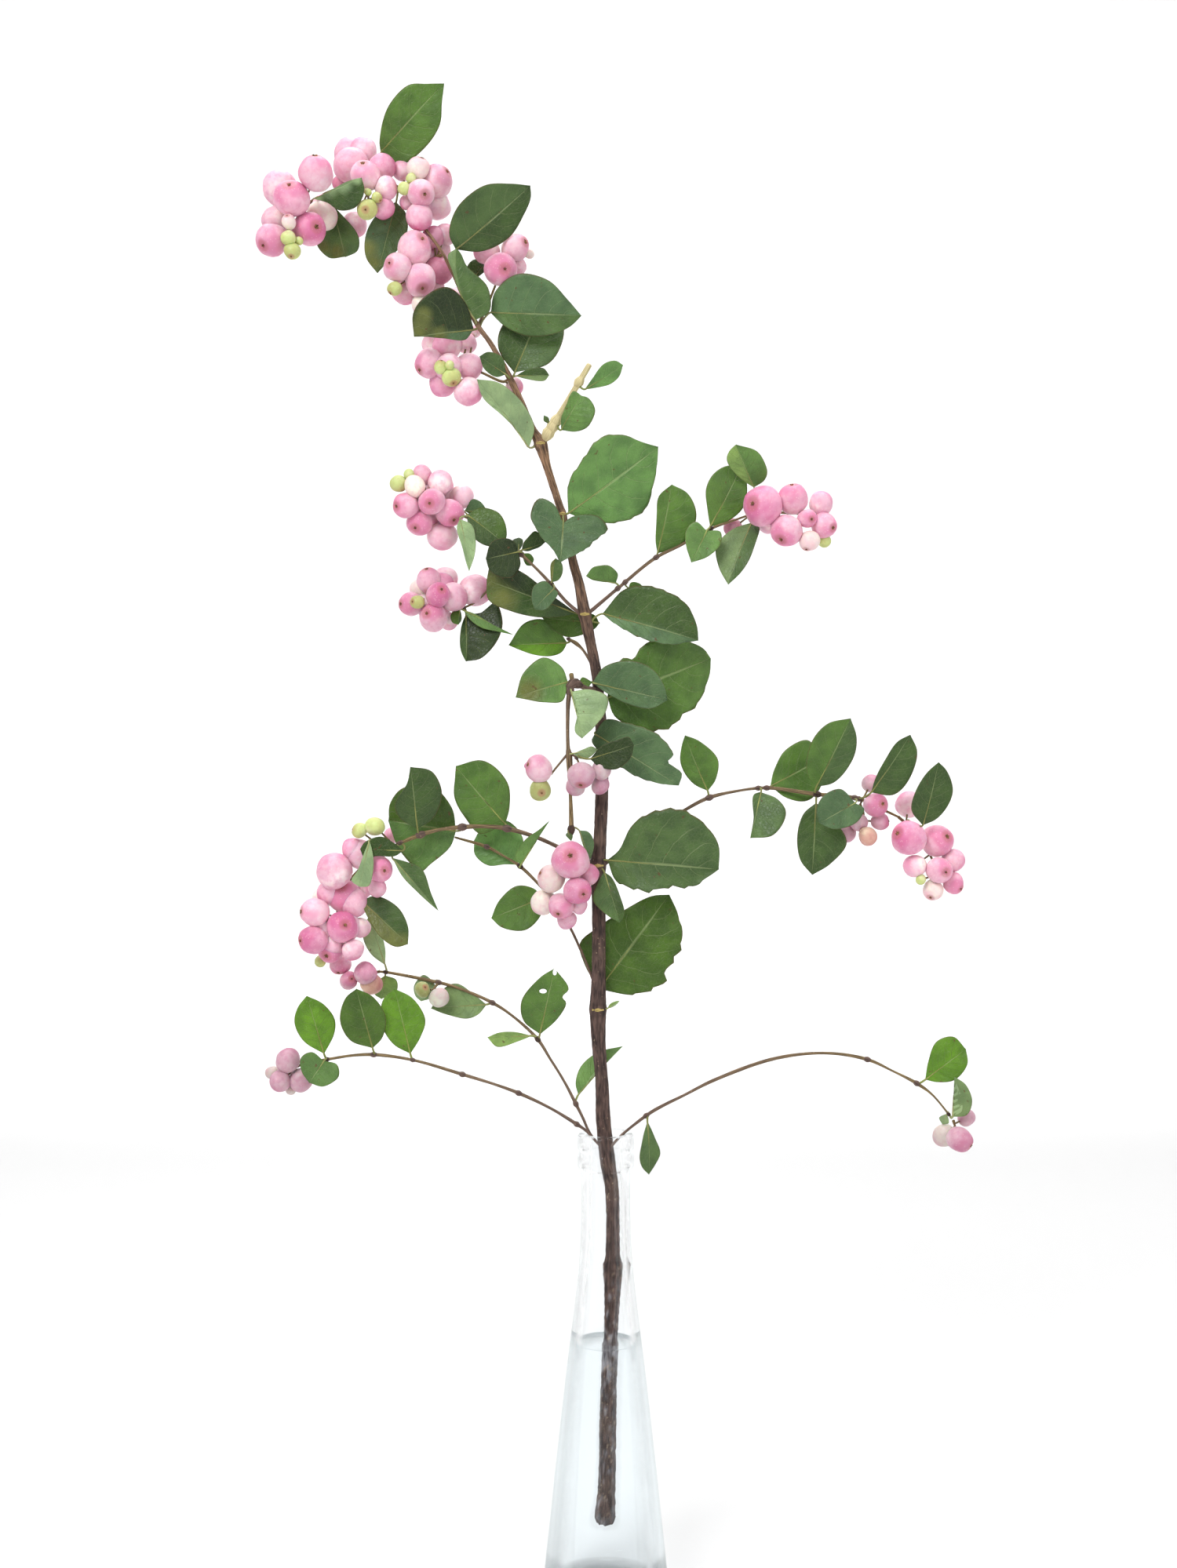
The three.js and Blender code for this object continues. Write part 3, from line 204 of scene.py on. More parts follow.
@dataclass
class Twig:
    """One side twig: what covers it, its routes and the leaves that grow on it.

    A point of a route is a column, a row and a width in pixels, then a depth in mm.
    """

    wood: Wood
    routes: Sequence[Sequence[Sequence[float]]]
    leaves: Sequence[Leaf]


@dataclass
class Bunch:
    """One bunch of berries: how far forward it stands in mm, its stalk's route and its berries.

    A berry is a column, a row and a width in pixels, then a depth in mm where that isn't worked out.
    """

    front: float
    stalk: Sequence[Sequence[float]]
    berries: Sequence[Sequence[float]]


def leaf(root: Any, base: Any, tip: Any, left: Any, right: Any, **bends: Any) -> Leaf:
    """Writes one leaf in short.

    Args:
        root: Place where the stalk starts, or None.
        base: Place of the blade's lower end.
        tip: Place of its tip.
        left: Picture points of the one margin, from base to tip.
        right: Picture points of the other margin.
        **bends: The other fields of Leaf, with the tones by name.

    Returns:
        The leaf.
    """
    for key in ("tone", "second"):
        if key in bends:
            bends[key] = Tone[bends[key].upper()]
    return Leaf(root, base, tip, left, right, **bends)


# The stem's route from its foot to its tip: column, row and width in pixels, then depth in mm
STEM = [
  [771, 1939, 17, 0], [771, 1930, 20, 0], [773, 1900, 18, 0], [775, 1800, 17, 0], [776, 1760, 16, 0],
  [778, 1710, 17, 0], [780, 1660, 18, 0], [781, 1618, 23, 0], [781, 1600, 18, 0], [780, 1518, 17, 0],
  [775, 1485, 18.5, 0], [769, 1430, 18, 0], [767, 1380, 16, 0], [763, 1330, 17, 0], [762, 1287, 20, 0],
  [763, 1240, 17, 0], [763, 1150, 17, 0], [762, 1105, 19, 0], [764, 1080, 16.5, 0], [767, 1010, 16, 0],
  [767, 950, 15, 0], [764, 900, 14, 0], [760, 858, 13, 0], [753, 822, 13, 0], [745, 783, 15, 0],
  [738, 745, 12, 0], [731, 720, 11, 0], [718, 660, 9, 0], [713, 645, 9, 0], [697, 595, 10, 1],
  [689, 567, 15, 1], [679, 548, 9, 1], [665, 515, 8, 2], [650, 483, 8, 2], [625, 438, 6, 2],
  [609, 416, 6, 2], [595, 390, 5, 2], [578, 350, 5, 3], [562, 320, 4, 4], [541, 291, 4, 2],
  [530, 270, 4, -3], [515, 248, 4, -8], [495, 232, 4, -10], [465, 232, 4, -10], [435, 240, 4, -9],
  [410, 250, 4, -8], [388, 265, 4, -7], [376, 285, 4, -6],
]

# Leafy twigs: routes of the wood, joined, and the leaves that grow on them
TWIGS = {
  "peeled_stub": Twig(
    wood=Wood.PEELED,
    routes=[[[690, 566, 9, 1], [699, 553, 11, 3], [712, 532, 10, 5], [732, 498, 9, 7],
      [751, 466, 8, 9]]],
    leaves=[
      leaf([739, 488, 8], [745, 497, 9], [794, 466, 14], [[755, 482], [770, 463], [784, 460]],
        [[762, 494], [778, 489], [789, 480]], roll=-15, tone="fresh"),
      leaf([711, 540, 5], [715, 549, 8], [741, 505, 12], [[716, 533], [723, 515], [731, 499]],
        [[735, 551], [751, 544], [759, 524], [750, 508]], roll=12, tone="bright"),
      leaf([705, 545, 4], [700, 541, 5], [693, 530, 7], [[693, 537]], [[699, 533]], tone="leaf"),
    ],
  ),
  "twig_left_forked": Twig(
    wood=Wood.BARK,
    routes=[
      [[742, 785, 6, 0], [722, 768, 5, 2], [703, 746, 5, 4], [680, 722, 4, 4], [662, 706, 5, 4],
        [636, 688, 3, 1], [606, 662, 3, 2]],
      [[662, 706, 4, 4], [642, 730, 3, 1], [606, 768, 3, -6], [590, 776, 3, -7]],
    ],
    leaves=[
      leaf([703, 746, 4], [703, 743, 5], [708, 712, 8], [[702, 735], [703, 718]],
        [[712, 740], [718, 730], [716, 718]], roll=20, tone="olive", second="leaf"),
      leaf([702, 746, 4], [706, 751, 7], [681, 777, 12], [[694, 742], [680, 749], [677, 764]],
        [[711, 757], [705, 768], [694, 779]], roll=-10, tone="grey"),
      leaf([663, 706, 4], [661, 704, 7], [619, 713, 13], [[655, 692], [640, 687], [624, 693]],
        [[662, 722], [650, 737], [634, 736], [623, 728]], fold=0.2, tone="night"),
      leaf([663, 705, 4], [665, 702, 4], [695, 692, 0], [[668, 690], [681, 677], [690, 685]],
        [[672, 703], [686, 698]], roll=-20, tone="deep"),
      leaf([664, 706, 4], [667, 706, 3], [677, 722, -1], [[667, 714], [671, 721]], [[675, 706], [680, 713]],
        tone="middle"),
      leaf([662, 705, 4], [661, 703, 3], [661, 686, 0], [[652, 698], [654, 689]], [[666, 696], [666, 689]],
        tone="deep"),
      leaf([606, 662, 2], [595, 657, 3], [643, 694, 7], [[612, 650], [633, 655], [643, 668], [646, 682]],
        [[597, 672], [606, 691], [621, 698], [634, 697]], roll=20, fold=0.15, tone="dim", second="shade"),
      leaf([606, 662, 2], [592, 652, -2], [622, 653, -3], [[602, 637], [612, 640]],
        [[604, 658], [614, 657]], tone="grey", second="shade"),
      leaf([600, 660, 2], [586, 662, 8], [598, 729, 12], [[581, 675], [587, 698], [592, 714]],
        [[599, 671], [604, 690], [603, 710]], roll=25, fold=0.3, tone="pale"),
      leaf([590, 776, -7], [590, 778, -4], [655, 810, -2], [[605, 783], [622, 793], [640, 803]],
        [[600, 791], [614, 801], [635, 806]], fold=0.3, tone="bright"),
      leaf([592, 776, -7], [594, 783, -8], [594, 844, -4], [[588, 800], [586, 820], [588, 833]],
        [[615, 782], [631, 771], [640, 792], [637, 814], [614, 841]], fold=0.25, tone="shade",
          second="night"),
      leaf([590, 776, -7], [586, 778, -4], [584, 797, 0], [[579, 780], [574, 787], [577, 795]],
        [[588, 784], [588, 792]], tone="dim", second="shade"),
    ],
  ),
  "twig_left_small": Twig(
    wood=Wood.BARK,
    routes=[[[756, 850, 5, -1], [742, 828, 4, -5], [733, 820, 6, -7], [724, 815, 3, -9]]],
    leaves=[
      leaf([725, 816, -9], [723, 820, -10], [648, 823, -12], [[710, 801], [692, 790], [669, 795]],
        [[716, 832], [702, 837], [680, 835], [665, 830]], fold=0.12, tone="middle", second="backlit"),
    ],
  ),
  "twig_right_upper": Twig(
    wood=Wood.BARK,
    routes=[[[749, 783, 6, 0], [787, 751, 5, 3], [835, 712, 5, 6], [865, 697, 4, 8], [905, 675, 4, 8],
      [935, 664, 3, 5], [955, 657, 3, 2]]],
    leaves=[
      leaf([787, 751, 3], [785, 744, 4], [747, 735, 8], [[787, 731], [775, 720], [757, 722]],
        [[775, 742], [757, 740]], roll=25, tone="bright", second="middle"),
      leaf([797, 743, 3.6], [801, 750, -1], [820, 749, -3], [[804, 743], [814, 744]],
        [[808, 753], [816, 752]], tone="middle"),
      leaf([837, 711, 6], [838, 706, 6], [856, 618, 10], [[835, 688], [836, 655], [839, 633]],
        [[858, 700], [877, 684], [886, 658], [876, 630]], roll=-12, tone="middle"),
      leaf([905, 675, 8], [901, 677, 11], [881, 718, 16], [[886, 667], [873, 680], [874, 700]],
        [[917, 680], [917, 697], [903, 711]], fold=0.25, tone="bright"),
      leaf([905, 675, 8], [905, 672, 6], [944, 596, 0], [[901, 652], [897, 625], [907, 606], [925, 595]],
        [[924, 667], [946, 647], [950, 618]], roll=-15, tone="middle"),
      leaf([955, 658, 2], [961, 622, 4], [938, 567, 9], [[944, 610], [927, 586], [930, 575]],
        [[975, 612], [979, 598], [966, 575]], fold=0.2, roll=15, tone="lime", second="bright"),
      leaf([956, 659, 2], [958, 667, 4], [928, 746, 12], [[932, 680], [915, 700], [917, 726]],
        [[968, 673], [961, 705], [946, 732]], fold=0.2, roll=-20, tone="dusty", second="leaf"),
    ],
  ),
  "twig_right_middle": Twig(
    wood=Wood.BARK,
    routes=[[[764, 1107, 6, 0], [791, 1087, 5, -2], [830, 1060, 5, -7], [873, 1033, 5, -6],
      [902, 1018, 6, -4],
      [939, 1009, 4, -1], [977, 1005, 5, 1], [1040, 1013, 6, 4], [1091, 1018, 5, 5], [1130, 1035, 4, 4],
      [1147, 1043, 3, 3]]],
    leaves=[
      leaf([902, 1018, -4], [902, 1009, -3], [873, 938, 0], [[884, 999], [868, 972], [869, 952]],
        [[913, 993], [916, 968], [893, 945]], roll=15, tone="middle"),
      leaf([979, 1005, 1], [982, 1003, 0], [1046, 968, -8], [[985, 983], [1000, 957], [1030, 945]],
        [[1000, 1018], [1028, 1022], [1048, 995]], tone="middle"),
      leaf([1040, 1013, 4], [1040, 1004, 6], [1084, 916, 13], [[1028, 985], [1032, 947], [1054, 922]],
        [[1062, 997], [1086, 967], [1091, 940]], fold=0.2, roll=-10, tone="middle", second="leaf"),
      leaf([968, 1006, 0], [970, 1010, 4], [956, 1069, 10], [[960, 1015], [960, 1045]],
        [[990, 1020], [1001, 1040], [985, 1067]], fold=0.2, tone="leaf"),
      leaf([1040, 1015, 4], [1040, 1024, 5], [1035, 1116, 6], [[1024, 1038], [1016, 1066], [1020, 1097]],
        [[1062, 1045], [1079, 1075], [1058, 1102]], fold=0.15, tone="shade"),
      leaf([1089, 1019, 5], [1090, 1024, 15], [1044, 1050, 17], [[1070, 1007], [1049, 1015], [1040, 1032]],
        [[1101, 1032], [1090, 1050], [1062, 1058]], fold=0.15, tone="grey"),
      leaf([1094, 1019, 5], [1110, 1011, 13], [1160, 937, 18], [[1115, 993], [1127, 968], [1143, 946]],
        [[1138, 1013], [1160, 988], [1168, 958]], roll=-15, tone="shade"),
    ],
  ),
  "twig_drooping": Twig(
    wood=Wood.BARK,
    routes=[
      [[760, 880, 7, 1], [745, 877, 7, 6], [730, 872, 9, 9], [725, 888, 7, 10], [724, 955, 6, 11],
        [725, 961, 9, 11], [727, 1013, 5, 10], [728, 1057, 7, 9], [727, 1070, 5, 9]],
      [[730, 874, 7, 9], [728, 860, 7, 9]],
      [[724, 961, 4, 11], [709, 979, 3, 12], [702, 988, 3, 11]],
      [[726, 961, 4, 11], [734, 966, 3, 13], [738, 974, 3, 13]],
    ],
    leaves=[
      leaf([728, 872, 9], [724, 870, 9], [657, 890, 13], [[716, 852], [692, 842], [667, 860]],
        [[716, 896], [693, 898], [672, 893]], fold=0.2, roll=-15, tone="bright",
          stains=[(674, 882, 24, "olive")]),
      leaf([735, 873, 8], [737, 872, 6], [755, 870, 5], [[742, 864]], [[745, 881]], tone="middle"),
      leaf([727, 880, 10], [728, 882, 12], [742, 942, 16], [[733, 895], [736, 910], [733, 934]],
        [[752, 880], [775, 892], [772, 910], [757, 929]], fold=0.2, tone="pale"),
      leaf([727, 962, 11], [731, 961, 13], [762, 956, 14], [[745, 955], [754, 952]],
        [[737, 967], [745, 968], [753, 965]], tone="pale"),
      leaf([737, 964, 14], [752, 968, 18], [808, 950, 20], [[768, 951], [787, 944], [801, 940]],
        [[764, 978], [786, 981], [804, 966]], fold=0.15, tone="night"),
      leaf([728, 1057, 9], [738, 1059, 9], [752, 1097, 8], [[741, 1072], [746, 1086]],
        [[750, 1061], [757, 1074], [755, 1088]], tone="dusty", second="grey"),
      leaf([727, 1057, 9], [724, 1061, 10], [728, 1073, 11], [[721, 1065]], [[730, 1066]], tone="leaf"),
    ],
  ),
  "twig_left_thick": Twig(
    wood=Wood.BARK,
    routes=[[[758, 1103, 7, -1], [745, 1095, 6, -4], [711, 1080, 6, -5], [684, 1068, 6, -4],
      [647, 1057, 7, -2],
      [617, 1054, 6, -1], [589, 1055, 7, 0], [561, 1058, 5, 1], [535, 1065, 7, 2], [508, 1076, 4, 2]]],
    leaves=[
      leaf([588, 1057, -1], [581, 1060, -4], [495, 1046, -6],
        [[577, 1030], [555, 1004], [515, 1004], [497, 1025]],
        [[574, 1080], [550, 1101], [538, 1110], [512, 1086], [500, 1060]], roll=10, tone="dim",
          second="bright"),
      leaf([534, 1063, 2], [532, 1057, 4], [523, 978, 8], [[510, 1043], [503, 1026], [519, 998]],
        [[552, 1043], [563, 1010], [550, 983]], fold=0.2, tone="shade"),
      leaf([647, 1056, -2], [644, 1051, -5], [581, 977, -6],
        [[612, 1063], [594, 1042], [580, 1015], [580, 992]],
        [[650, 1028], [648, 998], [617, 970]], roll=10, wave=1, tone="middle"),
      leaf([509, 1076, 2], [500, 1094, 6], [559, 1162, 10], [[513, 1118], [532, 1138], [546, 1151]],
        [[522, 1101], [539, 1110], [550, 1140]], fold=0.3, tone="dusty", second="leaf"),
      leaf([512, 1075, 2], [514, 1085, 6], [459, 1083, 9], [[503, 1092], [480, 1092], [465, 1095]],
        [[502, 1075], [485, 1067], [465, 1074]], fold=0.1, tone="deep"),
      leaf([474, 1078, 8], [471, 1071, 9], [458, 1131, 12], [[464, 1088], [456, 1110], [448, 1123]],
        [[476, 1095], [475, 1115], [470, 1130]], tone="pale"),
    ],
  ),
  "twig_left_thin": Twig(
    wood=Wood.BARK,
    routes=[[[761, 1264, 5, 0], [752, 1240, 4, -1], [738, 1207, 4, -2], [726, 1182, 4, -3],
      [710, 1158, 4, -6],
      [692, 1134, 4, -7], [663, 1105, 5, -8], [644, 1093, 3, -9], [620, 1080, 5, -11],
        [580, 1068, 3, -12]]],
    leaves=[
      leaf([663, 1105, -8], [664, 1103, -4], [701, 1046, 4], [[657, 1094], [670, 1070], [688, 1057]],
        [[669, 1085], [680, 1067]], tone="bright"),
      leaf([663, 1105, -8], [660, 1103, -11], [604, 1072, -17], [[645, 1103], [622, 1104], [606, 1090]],
        [[668, 1072], [648, 1048], [615, 1056]], tone="fresh"),
      leaf([702, 1147, -6], [692, 1145, -6], [626, 1171, -5], [[680, 1133], [658, 1130], [636, 1149]],
        [[690, 1166], [670, 1186], [640, 1183]], fold=0.15, tone="middle"),
    ],
  ),
  "twigs_low_left": Twig(
    wood=Wood.BARK,
    routes=[
      [[770, 1466, 4, 1], [760, 1456, 4, 2], [751, 1444, 4, 3], [743, 1426, 4, 2], [734, 1408, 5, 1],
        [719, 1379, 4, -1], [701, 1350, 4, -3], [685, 1325, 5, -4], [651, 1294, 4, -6], [626, 1278, 5, -7],
        [584, 1260, 4, -9], [559, 1253, 5, -10], [493, 1240, 4, -12], [482, 1239, 3, -12]],
      [[760, 1456, 4, 2], [747, 1442, 4, 3], [734, 1433, 5, 4], [701, 1413, 4, 6], [661, 1394, 5, 8],
        [631, 1383, 4, 9],
        [589, 1370, 5, 10], [527, 1352, 4, 11], [478, 1345, 5, 10], [449, 1346, 4, 9], [417, 1351, 4, 8],
        [397, 1354, 3, 4]],
    ],
    leaves=[
      leaf([734, 1408, 1], [737, 1396, -3], [794, 1334, -8], [[734, 1382], [741, 1361], [765, 1342]],
        [[746, 1383], [757, 1370], [779, 1350]], roll=15, tone="bright", second="pale"),
      leaf([686, 1325, -4], [688, 1319, -3], [707, 1235, 2], [[668, 1301], [665, 1275], [688, 1246]],
        [[711, 1298], [722, 1277], [717, 1270], [725, 1260]],
          holes=[(692, 1264, 5, 3), (707, 1240, 2.6, 4)], tone="middle"),
      leaf([684, 1324, -4], [678, 1321, -3], [621, 1323, 2], [[655, 1316], [635, 1317]],
        [[660, 1328], [633, 1335]], tone="lime"),
      leaf([626, 1278, -7], [620, 1281, -8], [549, 1286, -14], [[603, 1266], [583, 1254], [566, 1262]],
        [[610, 1294], [597, 1299], [571, 1294]], fold=0.15, tone="dusty"),
      leaf([559, 1253, -10], [553, 1252, -12], [537, 1277, -14], [[540, 1243], [528, 1257], [530, 1270]],
        [[556, 1262], [548, 1273]], tone="pale"),
      leaf([492, 1240, -12], [491, 1244, -15], [486, 1274, -19], [[480, 1252], [477, 1266]],
        [[505, 1249], [506, 1262]], tone="lime"),
      leaf([493, 1240, -12], [491, 1231, -12], [470, 1169, -13], [[473, 1217], [463, 1197], [464, 1180]],
        [[491, 1210], [484, 1186]], tone="pale"),
      leaf([417, 1351, 8], [413, 1344, 8], [391, 1270, 11], [[386, 1326], [375, 1303], [379, 1285]],
        [[426, 1317], [426, 1298], [412, 1280]], tone="backlit"),
      leaf([478, 1345, 10], [475, 1337, 12], [454, 1261, 17], [[447, 1326], [433, 1300], [440, 1272]],
        [[487, 1322], [491, 1295], [475, 1270]], fold=0.15, tone="dim"),
      leaf([526, 1352, 11], [523, 1344, 9], [503, 1261, 8], [[501, 1331], [486, 1305], [488, 1275]],
        [[536, 1322], [542, 1300], [526, 1273]], tone="backlit"),
      leaf([415, 1352, 8], [413, 1353, 11], [394, 1381, 16], [[397, 1342], [383, 1350], [384, 1367]],
        [[429, 1358], [431, 1374], [412, 1386]], fold=0.15, tone="bright"),
    ],
  ),
  "twig_low_right": Twig(
    wood=Wood.BARK,
    routes=[[[774, 1468, 4, 1], [784, 1456, 4, 2], [794, 1446, 4, 3], [806, 1436, 4, 4],
      [832, 1417, 5, 5], [873, 1396, 4, 6], [911, 1377, 5, 7], [987, 1350, 5, 8], [1052, 1343, 4, 9],
      [1105, 1351, 5, 9], [1138, 1366, 3, 9], [1169, 1382, 5, 9], [1188, 1396, 3, 9], [1213, 1426, 3, 9]]],
    leaves=[
      leaf([826, 1421, 5], [825, 1430, 6], [827, 1498, 11], [[818, 1452], [814, 1476], [818, 1489]],
        [[833, 1449], [840, 1470], [835, 1484]], roll=20, tone="leaf"),
      leaf([1170, 1382, 9], [1179, 1377, 9], [1231, 1338, 12], [[1183, 1354], [1194, 1328], [1215, 1322]],
        [[1195, 1380], [1217, 1377], [1233, 1357]], wave=1, tone="backlit"),
      leaf([1210, 1422, 9], [1214, 1424, 11], [1216, 1373, 15], [[1226, 1416], [1226, 1400], [1221, 1385]],
        [[1232, 1421], [1239, 1402], [1231, 1383]], tone="pale", second="dusty"),
      leaf([1208, 1419, 9], [1207, 1420, 7], [1201, 1434, 6], [[1197, 1425]], [[1209, 1432]], tone="pale"),
    ],
  ),
}

# Leaves that grow straight on the woody stem
STEM_LEAVES = {
  "leaf_crown_top": leaf([497, 231, -10], [485, 196, -9], [566, 107, 2],
    [[484, 180], [497, 137], [522, 110], [545, 108]],
    [[513, 211], [542, 190], [562, 160], [564, 130]], roll=12, wave=1, tone="middle"),
  "leaf_crown_fold": leaf([409, 250, -8], [400, 254, 11], [461, 227, 16], [[425, 241], [445, 231]],
    [[418, 259], [433, 268], [455, 264], [465, 244]], fold=0.2,
      stains=[(418, 240, 16, "pale"), (438, 236, 14, "pale"), (402, 252, 12, "pale"),
      (455, 230, 8, "pale")], tone="pale", second="shade"),
  "leaf_crown_left": leaf([420, 246, -8], [424, 262, -11.5], [440, 328, -8],
    [[411, 287], [404, 311], [419, 329]],
    [[440, 279], [458, 304], [455, 320]], fold=0, curl=0, roll=-25,
      stains=[(430, 322, 14, "olive"), (412, 316, 12, "olive")], tone="leaf"),
  "leaf_crown_middle": leaf([507, 243, -9], [505, 258, -6], [481, 349, 0],
    [[480, 276], [465, 305], [466, 330]],
    [[517, 275], [517, 305], [497, 332]], fold=0.15,
      stains=[(468, 318, 18, "olive"), (474, 336, 16, "olive")], tone="grey", second="leaf"),
  "leaf_crown_right": leaf([571, 334, 3], [581, 319, 6], [676, 237, 12],
    [[572, 298], [583, 261], [615, 236], [650, 234]],
    [[612, 320], [648, 302], [667, 272], [676, 252]], roll=-12, fold=0.15, tone="leaf", second="shade"),
  "leaf_crown_small": leaf([590, 372, 2], [600, 360, -6], [622, 331, -11], [[594, 344], [602, 333]],
    [[612, 352], [622, 342]], tone="deep"),
  "leaf_stem_wrap": leaf([606, 412, 2], [606, 409, 5], [582, 317, 9], [[588, 380], [577, 348], [571, 326]],
    [[624, 398], [622, 368], [595, 340], [588, 325]], bow=-10, tone="dusty", second="leaf"),
  "leaf_crown_dark": leaf([609, 417, 2], [604, 421, 3], [528, 430, 11],
    [[592, 388], [568, 367], [540, 378], [526, 400]],
    [[592, 434], [563, 432], [540, 430]], fold=0.15,
      stains=[(536, 420, 20, "olive"), (540, 402, 14, "olive"), (560, 428, 14, "olive")], tone="night",
      second="grey"),
  "leaf_crown_wide": leaf([611, 419, 2], [625, 399, 1], [741, 403, 7],
    [[631, 373], [662, 350], [700, 358], [724, 382]],
    [[645, 417], [672, 429], [705, 427], [727, 417]], fold=0.1, tone="grey", second="leaf"),
  "leaves_crown_behind": [
    leaf([652, 484, 2], [656, 476, -1], [690, 398, -7], [[636, 450], [637, 425], [655, 402]],
      [[697, 468], [716, 442], [716, 412]], roll=10, tone="shade", second="leaf"),
    leaf([652, 485, 2], [657, 480, 0], [700, 479, 3], [[672, 472], [693, 470]], [[672, 484], [694, 486]],
      tone="shade", second="dusty"),
  ],
  "leaf_stem_fold": leaf([649, 484, 2], [645, 478, 6], [611, 455, 10], [[640, 456], [622, 449]],
    [[632, 481], [617, 471]], fold=0.25, tone="leaf"),
  "leaf_pale_long": leaf([682, 566, 1], [674, 571, 4], [608, 484, 4], [[661, 553], [640, 531], [615, 508]],
    [[681, 545], [668, 517], [637, 489]], curl=-0.03, roll=15, tone="pale"),
  "leaf_bow_tie": leaf([717, 656, 0], [718, 667, 6], [714, 718, 11],
    [[706, 645], [688, 637], [676, 658], [687, 684], [704, 703]],
    [[730, 660], [762, 661], [775, 678], [758, 694], [741, 706]], tone="grey", teeth=(0.5, 1.3)),
  "leaf_right_upper": leaf([717, 655, 0], [724, 655, 1], [839, 570, 8],
    [[724, 615], [738, 588], [762, 557], [790, 553], [820, 564]],
    [[750, 664], [790, 665], [822, 651], [830, 628], [837, 594]], roll=-10, wave=1, tone="fresh",
      teeth=(0.9, 0.9)),
  "leaf_left_large": leaf([742, 786, 0], [736, 783, -3], [620, 740, 6],
    [[700, 757], [665, 730], [628, 716]],
    [[710, 787], [684, 787], [652, 780], [622, 765]], fold=0.1,
      stains=[(640, 765, 26, "olive"), (625, 740, 16, "olive")], tone="night", second="shade"),
  "leaf_behind_node": leaf([746, 792, 0], [764, 795, -6], [691, 788, -7],
    [[757, 784], [730, 783], [705, 785]],
    [[757, 803], [725, 813], [703, 802]], curl=0, tone="dim"),
  "leaf_right_first": leaf([752, 796, 0], [767, 783, 1], [890, 817, 8],
    [[798, 752], [835, 750], [874, 770], [888, 797]],
    [[787, 799], [820, 817], [855, 824], [875, 820]], roll=8, fold=0.1, wave=1, tone="shade", second="grey",
      teeth=(0.7, 0.7)),
  "leaf_right_toothed": leaf([764, 889, 0], [774, 890, -2], [906, 840, -6],
    [[778, 866], [791, 839], [805, 839], [820, 820], [860, 814], [896, 827]],
    [[783, 914], [815, 931], [851, 930], [869, 914], [888, 899], [904, 862]],
    roll=-6, tone="middle", teeth=(0.8, 1.7)),
  "leaf_right_grey": leaf([759, 870, 0], [755, 871, 4], [851, 893, 9],
    [[770, 851], [802, 843], [830, 852], [846, 873]],
    [[770, 882], [800, 898], [830, 904]], fold=0.1, tone="grey"),
  "leaf_right_bitten": leaf([766, 934, 0], [758, 936, 5], [865, 1002, 9],
    [[772, 918], [795, 921], [837, 935], [859, 963], [851, 971], [869, 986]],
    [[754, 946], [786, 976], [818, 994], [848, 1001]], fold=0.08, tone="grey", teeth=(0.6, 0.6)),
  "leaf_right_large": leaf([764, 1097, 0], [774, 1097, 3], [916, 1109, 9],
    [[790, 1083], [805, 1053], [833, 1034], [870, 1031], [900, 1052], [916, 1078]],
    [[785, 1124], [809, 1136], [830, 1140], [849, 1134], [884, 1132], [903, 1119]],
    fold=0.12, tone="leaf", teeth=(1.4, 2.0)),
  "leaf_right_low": leaf([762, 1268, 0], [763, 1262, -5], [853, 1141, -8],
    [[745, 1230], [739, 1203], [760, 1184], [795, 1161], [830, 1143]],
    [[810, 1269], [849, 1255], [853, 1238], [871, 1208], [866, 1170]], fold=0.04, tone="dim",
      teeth=(0.0, 2.6)),
  "leaf_stem_front": leaf([765, 1107, 0], [770, 1112, 5], [790, 1177, 11],
    [[762, 1127], [756, 1149], [774, 1168]],
    [[780, 1120], [791, 1145], [796, 1166]], fold=0.25, tone="leaf", second="shade"),
  "leaf_under_bunch": leaf(None, [461, 1149, -2], [520, 1204, 5], [[478, 1143], [508, 1158], [521, 1183]],
    [[466, 1164], [486, 1196], [505, 1208]], fold=0.15, stains=[(512, 1200, 14, "olive")], tone="shade",
      second="olive"),
  "leaf_stem_bud": leaf([766, 1288, 0], [774, 1286, 2], [790, 1276, 4], [[778, 1280], [784, 1277]],
    [[779, 1285], [786, 1281]], tone="lime", second="pale"),
  "leaf_right_end": leaf([1157, 1046, 5], [1176, 1053, 15], [1196, 972, 20],
    [[1161, 1033], [1165, 1009], [1180, 986]],
    [[1194, 1043], [1213, 1010], [1206, 983]], roll=-15, tone="shade"),
}

